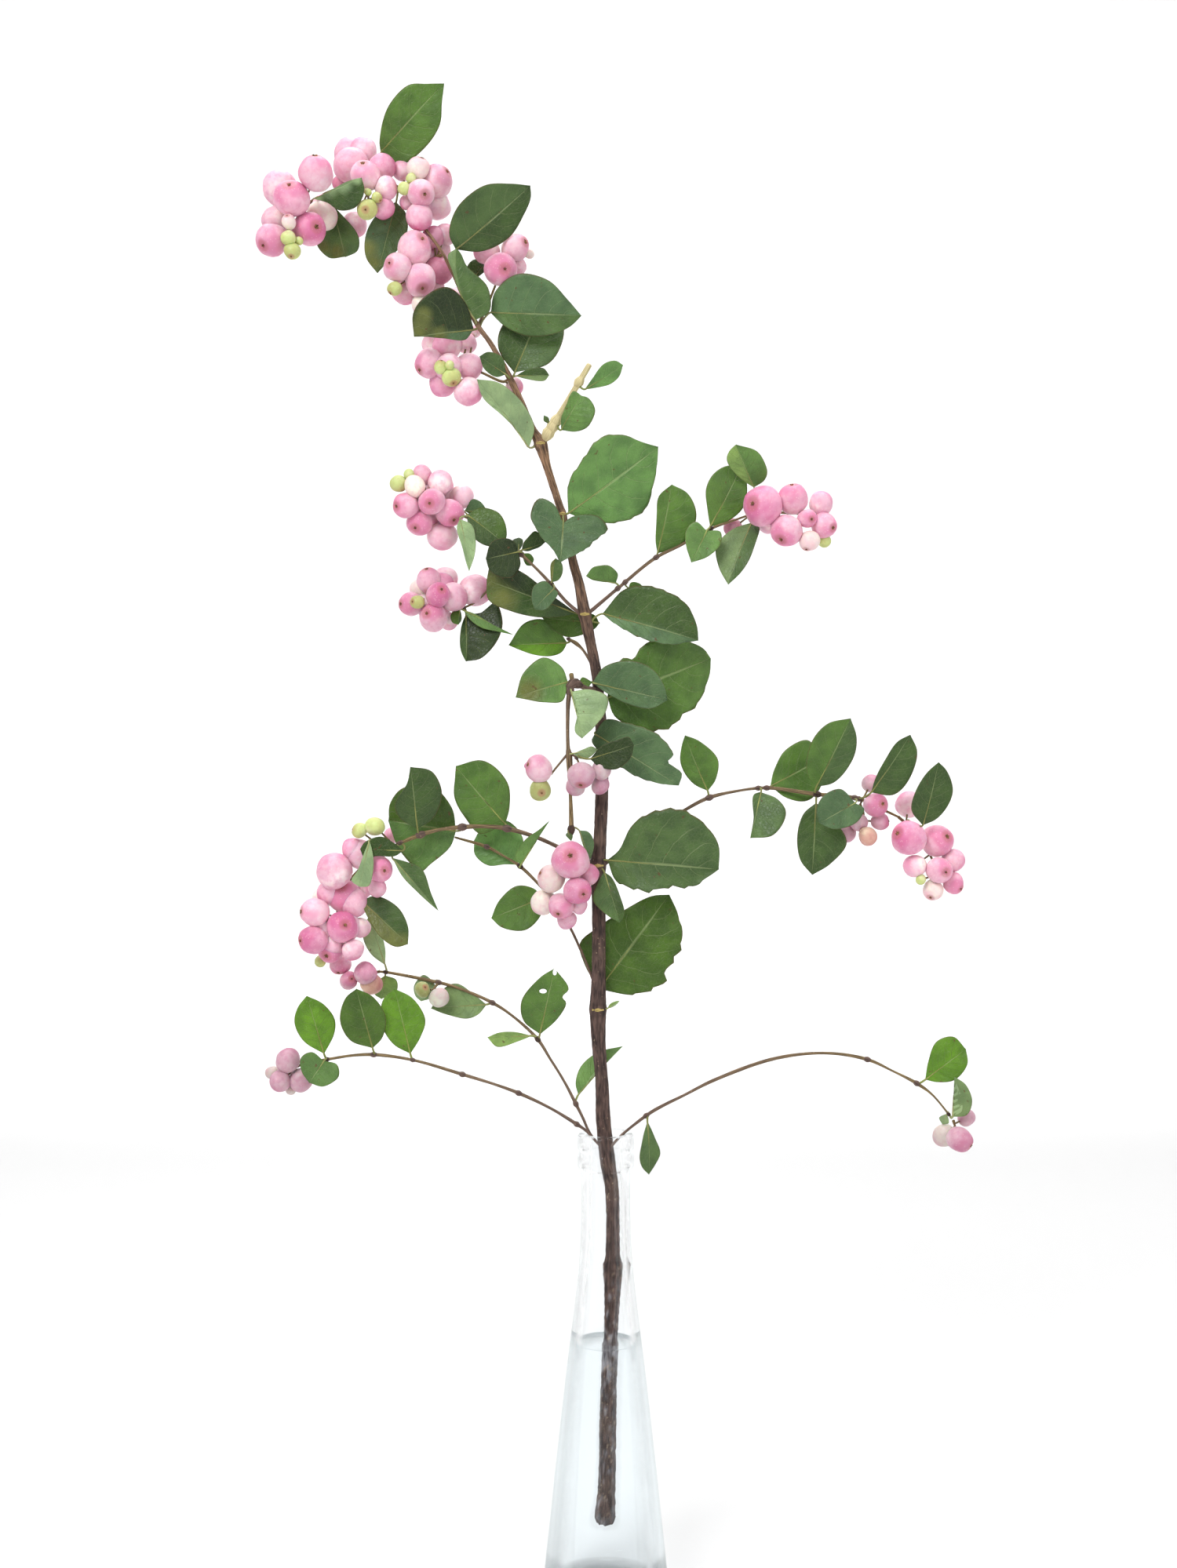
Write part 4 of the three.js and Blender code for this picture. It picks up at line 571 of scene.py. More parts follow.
BUNCHES = {
  "bunch_tip_left": Bunch(
    front=14,
    stalk=[[376, 288, 4, -6], [372, 300, 4, -2], [366, 306, 4, 0]],
    berries=[[368, 283, 20], [368, 304, 18], [373, 321, 22], [381, 308, 12], [394, 293, 42],
      [346, 306, 40],
      [372, 254, 45], [403, 222, 44], [357, 241, 44], [350, 281, 34], [411, 276, 38],
      [360, 290, 36, -5], [412, 262, 26, -6]],
  ),
  "bunch_tip_middle": Bunch(
    front=10,
    stalk=[[466, 236, 4, -8], [468, 246, 4, -4], [470, 256, 4, 0]],
    berries=[[480, 252, 15], [469, 246, 12], [468, 267, 27], [465, 226, 38], [492, 241, 29],
      [447, 212, 46],
      [487, 213, 36], [488, 266, 28], [463, 193, 34, -11], [447, 198, 44, -18], [433, 234, 20],
        [452, 287, 34, -15]],
  ),
  "bunch_tip_right": Bunch(
    front=8,
    stalk=[[520, 253, 4, -5], [526, 250, 4, -3], [532, 246, 4, -2]],
    berries=[[524, 228, 12], [515, 241, 15], [536, 247, 34], [533, 216, 29], [557, 232, 42],
      [534, 277, 34],
      [556, 263, 38], [518, 259, 20],
      [512, 219, 26, -7], [548, 262, 34, -9]],
  ),
  "bunch_crown_left": Bunch(
    front=8,
    stalk=[[563, 326, 4, 1], [556, 328, 4, -2], [545, 335, 4, -4], [530, 350, 4, -4]],
    berries=[[503, 368, 19], [506, 342, 36], [536, 358, 41], [529, 317, 43], [559, 345, 38],
      [516, 374, 30],
      [552, 304, 30, -4], [567, 300, 28, -7], [537, 390, 26, 1], [580, 384, 32, -9],
      [542, 334, 36, -7], [520, 352, 34, -9], [552, 366, 30, -9], [560, 320, 30, -10]],
  ),
  "bunch_crown_right": Bunch(
    front=4,
    stalk=[[609, 416, 4, 2], [622, 388, 4, -5], [636, 352, 4, -4]],
    berries=[[638, 344, 41], [657, 317, 34], [620, 320, 34], [659, 340, 26], [674, 324, 13]],
  ),
  "bunch_crown_low": Bunch(
    front=5,
    stalk=[[650, 483, 4, 2], [640, 487, 4, -5], [610, 474, 4, -6], [575, 463, 4, -4]],
    berries=[[573, 466, 12], [562, 469, 17], [576, 482, 25], [596, 500, 38], [598, 468, 36],
      [547, 464, 38],
      [569, 441, 38], [564, 490, 34], [550, 440, 26], [595, 438, 26], [605, 424, 15], [656, 493, 24, -8],
      [572, 470, 36, -3]],
  ),
  "bunch_left_upper": Bunch(
    front=10,
    stalk=[[600, 662, 4, 0], [585, 656, 4, -2], [545, 640, 4, -3]],
    berries=[[529, 621, 27], [550, 640, 34], [517, 645, 34], [572, 654, 37], [521, 605, 13],
      [535, 667, 34],
      [563, 684, 40], [561, 615, 32], [538, 606, 26], [589, 634, 32], [508, 617, 23],
      [553, 652, 36, -7], [560, 622, 36, -8], [532, 640, 34, -7], [577, 640, 32, -9]],
  ),
  "bunch_left_lower": Bunch(
    front=6,
    stalk=[[586, 775, 4, -7], [570, 770, 4, -6], [545, 762, 4, -6]],
    berries=[[532, 768, 18], [558, 759, 31], [577, 761, 36], [546, 741, 32], [552, 788, 37],
      [567, 739, 32],
      [606, 753, 42], [525, 770, 31], [536, 752, 26], [573, 793, 24, -11],
      [562, 748, 36, -6], [546, 772, 34, -7], [580, 762, 34, -7], [556, 778, 34, -8]],
  ),
  "bunch_right_upper": Bunch(
    front=14,
    stalk=[[958, 656, 4, 1], [985, 654, 4, 1], [1020, 656, 4, 2], [1045, 665, 4, 3]],
    berries=[[1028, 661, 24], [972, 646, 49], [1002, 677, 41], [1011, 637, 39], [1050, 670, 32],
      [1046, 642, 30],
      [1031, 691, 25], [1051, 691, 16], [978, 668, 26, 0], [934, 674, 24, -3]],
  ),
  "bunch_drooping_side": Bunch(
    front=13,
    stalk=[[699, 991, 4, 10], [694, 994, 4, 10]],
    berries=[[687, 980, 34], [688, 1008, 28], [673, 977, 12]],
  ),
  "bunch_drooping_middle": Bunch(
    front=18,
    stalk=[[741, 978, 4, 12], [750, 988, 4, 12]],
    berries=[[741, 988, 34], [733, 1003, 26], [766, 981, 26], [765, 1001, 24]],
  ),
  "bunch_drooping_end": Bunch(
    front=18,
    stalk=[[727, 1074, 4, 9], [727, 1085, 4, 10], [728, 1125, 4, 9], [722, 1160, 4, 7]],
    berries=[[727, 1097, 47], [736, 1136, 36], [715, 1155, 32], [692, 1151, 32], [703, 1120, 34],
      [750, 1115, 28],
      [738, 1155, 22], [722, 1173, 26]],
  ),
  "bunch_left_long": Bunch(
    front=3,
    stalk=[[506, 1078.5, 4, 0.8], [485, 1092, 4, -6], [455, 1112, 4, -9], [436, 1140, 4, -9],
      [424, 1195, 4, -7]],
    berries=[[478, 1054, 24], [458, 1059, 19], [436, 1182, 41], [426, 1111, 46], [438, 1143, 42],
      [401, 1164, 37],
      [399, 1198, 37], [422, 1212, 33], [484, 1108, 32], [459, 1183, 26], [450, 1212, 27], [480, 1133, 24],
      [460, 1090, 40], [499, 1066, 22, -13], [463, 1135, 20], [434, 1229, 28], [411, 1146, 28],
        [408, 1226, 14],
      [451, 1084, 30, -1], [452, 1152, 36, -3], [420, 1138, 32, -3], [440, 1182, 38, -2],
        [412, 1184, 34, -2], [425, 1205, 30, -2]],
  ),
  "bunch_low_left_end": Bunch(
    front=-4,
    stalk=[[484, 1239, 4, -12], [470, 1242, 4, -12]],
    berries=[[466, 1241, 30], [444, 1251, 25], [473, 1255, 28, -7]],
  ),
  "bunch_low_left_small": Bunch(
    front=-4,
    stalk=[[559, 1253, 4, -10], [552, 1262, 4, -7]],
    berries=[[538, 1262, 20], [560, 1272, 26]],
  ),
  "bunch_lowest_left": Bunch(
    front=6,
    stalk=[[400, 1353.5, 4, 4.7], [386, 1357, 4, 2], [378, 1361, 4, 0], [368, 1370, 4, 0]],
    berries=[[367, 1352, 31], [357, 1379, 28], [383, 1377, 30], [347, 1368, 18], [370, 1389, 14]],
  ),
  "bunch_right_middle": Bunch(
    front=10,
    stalk=[[1096, 1026, 4, 5], [1100, 1036, 4, 5], [1100, 1050, 4, 6]],
    berries=[[1115, 1026, 31], [1106, 1066, 25], [1095, 1049, 24], [1078, 1062, 24, 2], [1121, 1048, 24],
      [1110, 999, 24, -1]],
  ),
  "bunch_right_end": Bunch(
    front=10,
    stalk=[[1145, 1042, 4, 3], [1165, 1060, 4, -2], [1185, 1090, 4, -3], [1195, 1115, 4, -2]],
    berries=[[1158, 1069, 44], [1197, 1110, 34], [1194, 1072, 42], [1174, 1122, 14], [1189, 1135, 27],
      [1215, 1127, 28], [1214, 1097, 28], [1166, 1104, 30], [1158, 1026, 34, -6]],
  ),
  "bunch_low_right": Bunch(
    front=13,
    stalk=[[1215, 1429, 4, 9], [1217, 1436, 4, 9]],
    berries=[[1223, 1453, 33], [1204, 1448, 29], [1231, 1426, 24, 5]],
  ),
}


# Where a berry's dry calyx shows in the picture, by the berry's place
CALYXES = {
    (368, 283): (367, 277), (373, 321): (372, 330), (394, 293): (406, 295), (346, 306): (337, 318),
    (372, 254): (371, 240), (403, 222): (403, 203), (480, 252): (487, 259), (468, 267): (467, 272),
    (465, 226): (464, 213), (536, 247): (543, 253), (533, 216): (539, 202), (557, 232): (572, 222),
    (503, 368): (497, 376), (506, 342): (497, 340), (536, 358): (540, 373), (529, 317): (541, 308),
    (638, 344): (645, 349), (657, 317): (670, 312), (562, 469): (563, 461), (576, 482): (579, 492),
    (547, 464): (534, 475), (550, 640): (549, 645), (517, 645): (505, 648), (572, 654): (580, 666),
    (535, 667): (530, 676), (532, 768): (526, 768), (558, 759): (564, 753), (546, 741): (544, 727),
    (552, 788): (545, 784), (525, 770): (511, 771), (1028, 661): (1033, 664), (972, 646): (956, 645),
    (1002, 677): (993, 691), (1011, 637): (1008, 618), (1050, 670): (1060, 675), (1031, 691): (1027, 702),
    (687, 980): (673, 975), (688, 1008): (691, 1012), (741, 988): (740, 1002), (727, 1097): (727, 1090),
    (736, 1136): (744, 1140), (715, 1155): (711, 1165), (703, 1120): (688, 1113), (458, 1059): (447, 1057),
    (436, 1182): (443, 1178), (438, 1143): (437, 1130), (484, 1108): (492, 1110), (401, 1164): (385, 1162),
    (399, 1198): (383, 1199), (422, 1212): (418, 1218), (434, 1229): (432, 1241), (444, 1251): (450, 1247),
    (538, 1262): (543, 1258), (1115, 1026): (1123, 1025), (1121, 1048): (1134, 1047),
    (1158, 1069): (1141, 1062), (1197, 1110): (1203, 1112), (1194, 1072): (1204, 1066),
    (1189, 1135): (1184, 1145), (1215, 1127): (1224, 1134), (1223, 1453): (1238, 1461),
}

# Berries that are not plain pink, by their place; the DARK ones get painted shade
RIPENESS_AND_SHADE = {
    **dict.fromkeys([
        (368, 304), (373, 321), (381, 308), (480, 252), (469, 246), (468, 267), (524, 228), (515, 241),
        (503, 368), (562, 469), (573, 466), (576, 482), (521, 605), (508, 617), (532, 768), (1051, 691),
        (688, 1008), (478, 1054), (458, 1059), (538, 1262), (1174, 1122), (408, 1226),
    ], "GREEN"),
    **dict.fromkeys([
        (368, 283), (411, 276), (533, 216), (674, 324), (536, 752), (1031, 691), (703, 1120), (692, 1151),
        (1204, 1448), (560, 1272), (347, 1368), (370, 1389), (1189, 1135), (411, 1146), (537, 390),
    ], "PALE"),
    (529, 621): "CREAM", (1106, 1066): "ORANGE", (473, 1255): "ORANGE",
    (433, 234): "DARK", (559, 345): "DARK", (499, 1108): "DARK", (934, 674): "DARK",
}
# Painted shade: how much of their colour the berries keep in the bunches that lie in shadow
SHADED_BUNCHES = {
    "bunch_drooping_middle": 0.66, "bunch_drooping_side": 0.85, "bunch_drooping_end": 0.9,
    "bunch_lowest_left": 0.68, "bunch_low_right": 0.7, "bunch_low_left_small": 0.66,
    "bunch_low_left_end": 0.78, "bunch_right_middle": 0.8, "bunch_left_lower": 0.93,
}
WATER_WIDENS = 0.2  # the round water makes the stem in it look this much wider
STEM_NODES = [(781, 1613, 0), (762, 1287, 0), (762, 1104, 0), (745, 784, 0), (717, 656, 0), (689, 567, 1)]


class MeshMaker:
    """Gathers points, faces and their colours, and makes one Blender object of them."""

    def __init__(self) -> None:
        """Starts with nothing gathered."""
        self.points: list[Array] = []
        self.tints: list[Array] = []
        self.places: list[Array] = []
        self.faces: list[tuple[int, ...]] = []
        self.slots: list[int] = []
        self.count = 0

    def add(
        self, points: Array, faces: Iterable[Sequence[int]], tint: Array, place: Array, slot: int = 0
    ) -> None:
        """Adds one patch.

        Args:
            points: Points in mm.
            faces: Faces as indices into the points.
            tint: One colour, or one for each point.
            place: Surface coordinates, two for each point.
            slot: Number of the material.
        """
        size = len(points)
        self.points.append(np.asarray(points, dtype=float))
        self.tints.append(np.broadcast_to(np.asarray(tint, dtype=float), (size, 3)))
        self.places.append(np.asarray(place, dtype=float))
        faces = [tuple(int(i) + self.count for i in face) for face in faces]
        self.faces.extend(faces)
        self.slots.extend([slot] * len(faces))
        self.count += size

    def piece(self, name: str, materials: Sequence[bpy.types.Material]) -> bpy.types.Object:
        """Makes the object.

        Args:
            name: Name of the piece.
            materials: Materials in the order of their numbers.

        Returns:
            The new object, at the origin.
        """
        mesh = bpy.data.meshes.new(name)
        points = np.vstack(self.points) * MM
        mesh.from_pydata(points.tolist(), [], self.faces)
        for material in materials:
            mesh.materials.append(material)
        mesh.polygons.foreach_set("material_index", self.slots)
        mesh.polygons.foreach_set("use_smooth", [True] * len(self.faces))
        tint = mesh.attributes.new("tint", "FLOAT_COLOR", "POINT")
        tints = np.vstack(self.tints)
        tint.data.foreach_set("color", np.hstack([tints, np.ones((len(tints), 1))]).ravel())
        places = np.vstack(self.places)
        corners = np.empty(len(mesh.loops), dtype=np.int32)
        mesh.loops.foreach_get("vertex_index", corners)
        mesh.uv_layers.new(name="Place").data.foreach_set("uv", places[corners].ravel())
        mesh.validate()
        made = bpy.data.objects.new(name, mesh)
        bpy.context.scene.collection.objects.link(made)
        return made

    def tube(
        self,
        points: Array,
        radii: Array,
        tint: Array,
        sides: int,
        slot: int = 0,
        dome: float = 0.5,
        rough: Any = 0.0,
    ) -> None:
        """Adds a closed round tube.

        Args:
            points: The middle line in mm.
            radii: The radius at each point.
            tint: One colour, or one for each point of the line.
            sides: Points round the tube.
            slot: Number of the material.
            dome: How far its ends stand out, as a share of the radius.
            rough: Height in mm of the uneven surface, one or one for each point.
        """
        points = np.asarray(points, dtype=float)
        radii = np.asarray(radii, dtype=float)
        tints = np.broadcast_to(np.asarray(tint, dtype=float), (len(points), 3))
        start = unit(points[0] - points[1]) * radii[0] * dome
        end = unit(points[-1] - points[-2]) * radii[-1] * dome
        before = [points[0] + start, points[0] + start * 0.7]
        after = [points[-1] + end * 0.7, points[-1] + end]
        points = np.vstack([*before, points, *after])
        radii = np.concatenate([radii[0] * np.array([0.05, 0.7]), radii, radii[-1] * np.array([0.7, 0.05])])
        uneven = np.broadcast_to(np.asarray(rough, dtype=float), len(points) - 4)
        uneven = np.concatenate([[0, 0], uneven, [0, 0]])
        tints = np.vstack([tints[:1], tints[:1], tints, tints[-1:], tints[-1:]])
        tangents = np.gradient(points, axis=0)
        across = np.array([0.03, -1.0, 0.07])
        rings, places = [], []
        reach = 0.0
        for i, (point, radius) in enumerate(zip(points, radii)):
            along = unit(tangents[i])
            across = unit(across - along * float(across @ along))
            side = np.cross(along, across)
            angles = np.linspace(0, 2 * math.pi, sides, endpoint=False)
            out = np.outer(np.cos(angles), across) + np.outer(np.sin(angles), side)
            ring = point + radius * out
            if uneven[i]:
                lumps = [noise.noise(Vector(p) * 0.8) + 0.6 * noise.noise(Vector(p) * 2.1) for p in ring]
                ring = ring + uneven[i] * np.array(lumps)[:, None] * out
            rings.append(ring)
            if i:
                reach += float(np.linalg.norm(point - points[i - 1]))
            places.append(np.stack([angles / (2 * math.pi), np.full(sides, reach / 10)], axis=1))
        faces: list[tuple[int, ...]] = []
        for r in range(len(rings) - 1):
            for s in range(sides):
                a, b = r * sides + s, r * sides + (s + 1) % sides
                faces.append((a, b, b + sides, a + sides))
        last = (len(rings) - 1) * sides
        faces.append(tuple(range(sides - 1, -1, -1)))
        faces.append(tuple(range(last, last + sides)))
        self.add(np.vstack(rings), faces, np.repeat(tints, sides, axis=0), np.vstack(places), slot)


class Nodes:
    """A node tree, with short ways to add to it. Each way but node returns the new node's socket."""

    def __init__(self, tree: bpy.types.NodeTree) -> None:
        """Keeps the tree."""
        self.tree = tree

    def node(self, kind: str, inputs: Optional[dict[Any, Any]] = None, **settings: Any) -> Any:
        """Adds one node.

        Args:
            kind: Blender's name of the node's type.
            inputs: Values or sockets for its inputs, by name or number.
            **settings: Other settings of the node.

        Returns:
            The node.
        """
        made = self.tree.nodes.new(kind)
        for key, value in settings.items():
            setattr(made, key, value)
        for key, value in (inputs or {}).items():
            if isinstance(value, bpy.types.NodeSocket):
                self.tree.links.new(value, made.inputs[key])
            else:
                made.inputs[key].default_value = value
        return made

    def maths(self, operation: str, *values: Any, clamp: bool = False) -> Any:
        """Adds a sum of one kind."""
        made = self.node("ShaderNodeMath", dict(enumerate(values)), operation=operation, use_clamp=clamp)
        return made.outputs[0]

    def plus(self, first: Any, second: Any) -> Any:
        """Adds two values together."""
        return self.maths("ADD", first, second)

    def minus(self, first: Any, second: Any) -> Any:
        """Takes the second value from the first."""
        return self.maths("SUBTRACT", first, second)

    def times(self, first: Any, second: Any) -> Any:
        """Multiplies two values."""
        return self.maths("MULTIPLY", first, second)

    def mixed(self, share: Any, first: Any, second: Any, blend: str = "MIX") -> Any:
        """Mixes two colours.

        Args:
            share: How much of the second colour shows, from 0 to 1.
            first: A socket or a colour.
            second: A socket or a colour.
            blend: Blender's name of the way to mix.

        Returns:
            The socket of the mixed colour.
        """
        made = self.node("ShaderNodeMix", data_type="RGBA", blend_type=blend)
        for number, value in ((0, share), (6, first), (7, second)):
            if isinstance(value, bpy.types.NodeSocket):
                self.tree.links.new(value, made.inputs[number])
            elif number == 0:
                made.inputs[0].default_value = value
            else:
                made.inputs[number].default_value = (*value, 1)
        return made.outputs[2]

    def tinted(self, first: Any, second: Any) -> Any:
        """Multiplies two colours."""
        return self.mixed(1.0, first, second, "MULTIPLY")

    def attribute(self, name: str, output: str = "Color") -> Any:
        """Reads a value that the mesh holds."""
        return self.node("ShaderNodeAttribute", attribute_name=name).outputs[output]

    def here(self) -> Any:
        """Reads the place in object space."""
        return self.node("ShaderNodeTexCoord").outputs["Object"]

    def noise(self, scale: float, detail: float = 3, where: Any = None) -> Any:
        """Adds a noise pattern, in object space where no other place is given."""
        where = self.here() if where is None else where
        return self.node("ShaderNodeTexNoise", {"Vector": where, "Scale": scale, "Detail": detail}).outputs[0]

    def cells(self, scale: float, **settings: Any) -> Any:
        """Adds a pattern of small cells in object space."""
        inputs = {"Vector": self.here(), "Scale": scale}
        return self.node("ShaderNodeTexVoronoi", inputs, **settings).outputs[0]

    def ramp(self, value: Any, low: float, high: float, to: tuple[float, float] = (0, 1)) -> Any:
        """Spreads a value from low and high to a new range, smoothly."""
        inputs = {0: value, 1: low, 2: high, 3: to[0], 4: to[1]}
        return self.node("ShaderNodeMapRange", inputs, interpolation_type="SMOOTHSTEP").outputs[0]

    def bump(self, height: Any, strength: float, distance: float) -> Any:
        """Turns a height into a bent normal."""
        inputs = {"Height": height, "Strength": strength, "Distance": distance}
        return self.node("ShaderNodeBump", inputs).outputs[0]

    def body(self, colour: Any, rough: Any, **others: Any) -> Any:
        """Adds the main shader.

        Args:
            colour: Its base colour.
            rough: Its roughness.
            **others: Its other inputs, with underscores for the spaces in their names.

        Returns:
            The shader's socket.
        """
        inputs = {"Base Color": colour, "Roughness": rough}
        inputs.update({key.replace("_", " "): value for key, value in others.items()})
        return self.node("ShaderNodeBsdfPrincipled", inputs).outputs[0]


@dataclass(frozen=True)
class Finish:
    """A named material that is put together from nodes."""

    name: str

    def make(self) -> bpy.types.Material:
        """Makes the material.

        Returns:
            The material with its nodes.
        """
        material = bpy.data.materials.new(self.name)
        material.use_nodes = True
        tree = material.node_tree
        tree.nodes.clear()
        output = tree.nodes.new("ShaderNodeOutputMaterial")
        shader = self.dress(Nodes(tree))
        tree.links.new(shader, output.inputs["Surface"])
        return material

    def dress(self, nodes: Nodes) -> bpy.types.NodeSocket:
        """Adds the nodes of the finish and returns the shader's socket."""
        raise NotImplementedError


@dataclass(frozen=True)
class LeafFinish(Finish):
    """Leaf: veins, mottling, a thin margin line and light that comes through."""

    veins: float = VEIN_ROWS
    through: float = 0.15
    vein: Colour = linear((196, 210, 150))
    rim: Colour = linear((112, 84, 52))
    spot: Colour = linear((96, 66, 36))

    def dress(self, nodes: Nodes) -> bpy.types.NodeSocket:
        """Adds the leaf's nodes.

        Args:
            nodes: The material's node tree.

        Returns:
            The shader's socket.
        """
        tint = nodes.attribute("tint")
        place = nodes.node("ShaderNodeUVMap", uv_map="Place").outputs[0]
        parts = nodes.node("ShaderNodeSeparateXYZ", {0: place})
        share, across = parts.outputs[0], parts.outputs[1]
        side = nodes.times(nodes.maths("ABSOLUTE", nodes.minus(across, 0.5)), 2.0)
        shift = nodes.times(nodes.maths("GREATER_THAN", across, 0.5), VEIN_SHIFT)
        slant = nodes.times(nodes.maths("POWER", side, VEIN_BEND), VEIN_SLANT)
        wobble = nodes.times(nodes.noise(90, 2), 0.5)
        rows = nodes.times(share, self.veins)
        rows = nodes.minus(nodes.plus(rows, nodes.plus(shift, wobble)), slant)
        ridge = nodes.maths("ABSOLUTE", nodes.minus(nodes.maths("FRACT", rows), 0.5))
        lateral = nodes.ramp(ridge, 0.0, 0.04, (1, 0))
        lateral = nodes.times(lateral, nodes.ramp(side, 0.55, 0.95, (1, 0.1)))
        middle = nodes.ramp(side, 0.01, 0.045, (1, 0))
        net = nodes.ramp(nodes.cells(620.0, feature="DISTANCE_TO_EDGE"), 0.0, 0.09, (1, 0))
        veins = nodes.maths("MAXIMUM", nodes.times(lateral, 0.65), middle, clamp=True)
        blotch = nodes.noise(120, 4)
        dark = nodes.tinted(tint, (0.76, 0.78, 0.76))
        light = nodes.tinted(tint, (1.18, 1.15, 1.1))
        colour = nodes.mixed(nodes.ramp(blotch, 0.32, 0.68), dark, light)
        pale = nodes.mixed(0.36, tint, self.vein)
        colour = nodes.mixed(nodes.times(net, 0.13), colour, pale)
        colour = nodes.mixed(nodes.times(veins, 0.75), colour, pale)
        edge = nodes.ramp(side, 0.955, 0.99)
        colour = nodes.mixed(nodes.times(edge, 0.45), colour, self.rim)
        spots = nodes.ramp(nodes.noise(420, 1), 0.735, 0.775)
        colour = nodes.mixed(nodes.times(spots, 0.7), colour, self.spot)
        fine = nodes.noise(900, 2)
        height = nodes.plus(nodes.times(veins, -0.8), nodes.times(net, -0.25))
        height = nodes.plus(height, nodes.times(fine, 0.25))
        normal = nodes.bump(height, 0.8, 0.0004)
        rough = nodes.ramp(fine, 0.3, 0.7, (0.34, 0.52))
        body = nodes.body(colour, rough, Normal=normal, Specular_IOR_Level=0.4)
        glow = nodes.tinted(colour, (1.15, 1.3, 0.8))
        behind = nodes.node("ShaderNodeBsdfTranslucent", {"Color": glow, "Normal": normal}).outputs[0]
        return nodes.node("ShaderNodeMixShader", {0: self.through, 1: body, 2: behind}).outputs[0]


@dataclass(frozen=True)
class BerryFinish(Finish):
    """Waxy berry skin: a blush toward the crown, mottling, pale flecks and soft light inside."""

    crown: Colour = linear((176, 96, 92))

    def dress(self, nodes: Nodes) -> bpy.types.NodeSocket:
        """Adds the berry's nodes.

        Args:
            nodes: The material's node tree.

        Returns:
            The shader's socket.
        """
        main, blush, pale = (nodes.attribute(name) for name in ("tint", "blush", "pale"))
        height = nodes.attribute("height", "Fac")
        broad = nodes.noise(110, 2)
        fine = nodes.noise(520, 3)
        share = nodes.plus(height, nodes.times(nodes.minus(broad, 0.5), 1.6))
        colour = nodes.mixed(nodes.ramp(share, 0.45, 1.05), main, blush)
        colour = nodes.mixed(nodes.ramp(share, 0.35, -0.15), colour, pale)
        colour = nodes.mixed(nodes.times(nodes.ramp(fine, 0.42, 0.72), 0.4), colour, blush)
        dots = nodes.ramp(nodes.cells(760.0), 0.1, 0.3, (1, 0))
        colour = nodes.mixed(nodes.times(dots, 0.3), colour, pale)
        ring = nodes.ramp(height, 0.93, 0.985)
        colour = nodes.mixed(nodes.times(ring, 0.5), colour, self.crown)
        uneven = nodes.plus(nodes.times(fine, 0.6), nodes.times(dots, 0.25))
        normal = nodes.bump(uneven, 0.35, 0.00025)
        rough = nodes.ramp(fine, 0.3, 0.7, (0.36, 0.52))
        inside = {"Subsurface_Weight": 0.2, "Subsurface_Scale": 0.003}
        return nodes.body(colour, rough, Normal=normal, **inside, Specular_IOR_Level=0.45)


@dataclass(frozen=True)
class BarkFinish(Finish):
    """Thin bark with long streaks, small pale dots and a dull surface."""

    streak: Colour = (0.36, 0.33, 0.33)
    lift: Colour = (1.85, 1.8, 1.72)
    dots: float = 0.5
    film: Colour = linear((134, 112, 94))
    dot: Colour = linear((186, 160, 128))

    def dress(self, nodes: Nodes) -> bpy.types.NodeSocket:
        """Adds the bark's nodes.

        Args:
            nodes: The material's node tree.

        Returns:
            The shader's socket.
        """
        tint = nodes.attribute("tint")
        place = nodes.node("ShaderNodeUVMap", uv_map="Place").outputs[0]
        long = nodes.node("ShaderNodeMapping", {"Vector": place, "Scale": (9.0, 0.9, 1.0)}).outputs[0]
        grain = nodes.noise(1.6, 5, long)
        broad = nodes.noise(45, 3)
        dark = nodes.tinted(tint, self.streak)
        light = nodes.tinted(tint, self.lift)
        colour = nodes.mixed(nodes.ramp(grain, 0.33, 0.66), dark, light)
        colour = nodes.mixed(nodes.ramp(broad, 0.5, 0.75, (0, 0.3)), colour, self.film)
        spots = nodes.ramp(nodes.cells(420.0), 0.08, 0.2, (1, 0))
        spots = nodes.times(spots, nodes.ramp(broad, 0.42, 0.6))
        colour = nodes.mixed(nodes.times(spots, self.dots), colour, self.dot)
        normal = nodes.bump(nodes.plus(grain, nodes.times(spots, 0.4)), 0.6, 0.0005)
        rough = nodes.ramp(grain, 0.3, 0.7, (0.62, 0.85))
        return nodes.body(colour, rough, Normal=normal, Specular_IOR_Level=0.3)


@dataclass(frozen=True)
class CalyxFinish(Finish):
    """Dry brown lobes at the berry's end."""

    dark: Colour = linear((92, 60, 40))
    light: Colour = linear((164, 116, 80))

    def dress(self, nodes: Nodes) -> bpy.types.NodeSocket:
        """Adds the calyx's nodes.

        Args:
            nodes: The material's node tree.

        Returns:
            The shader's socket.
        """
        grain = nodes.noise(900, 3)
        colour = nodes.mixed(nodes.ramp(grain, 0.3, 0.7), self.dark, self.light)
        normal = nodes.bump(grain, 0.5, 0.0002)
        return nodes.body(colour, nodes.ramp(grain, 0.3, 0.7, (0.7, 0.9)), Normal=normal)


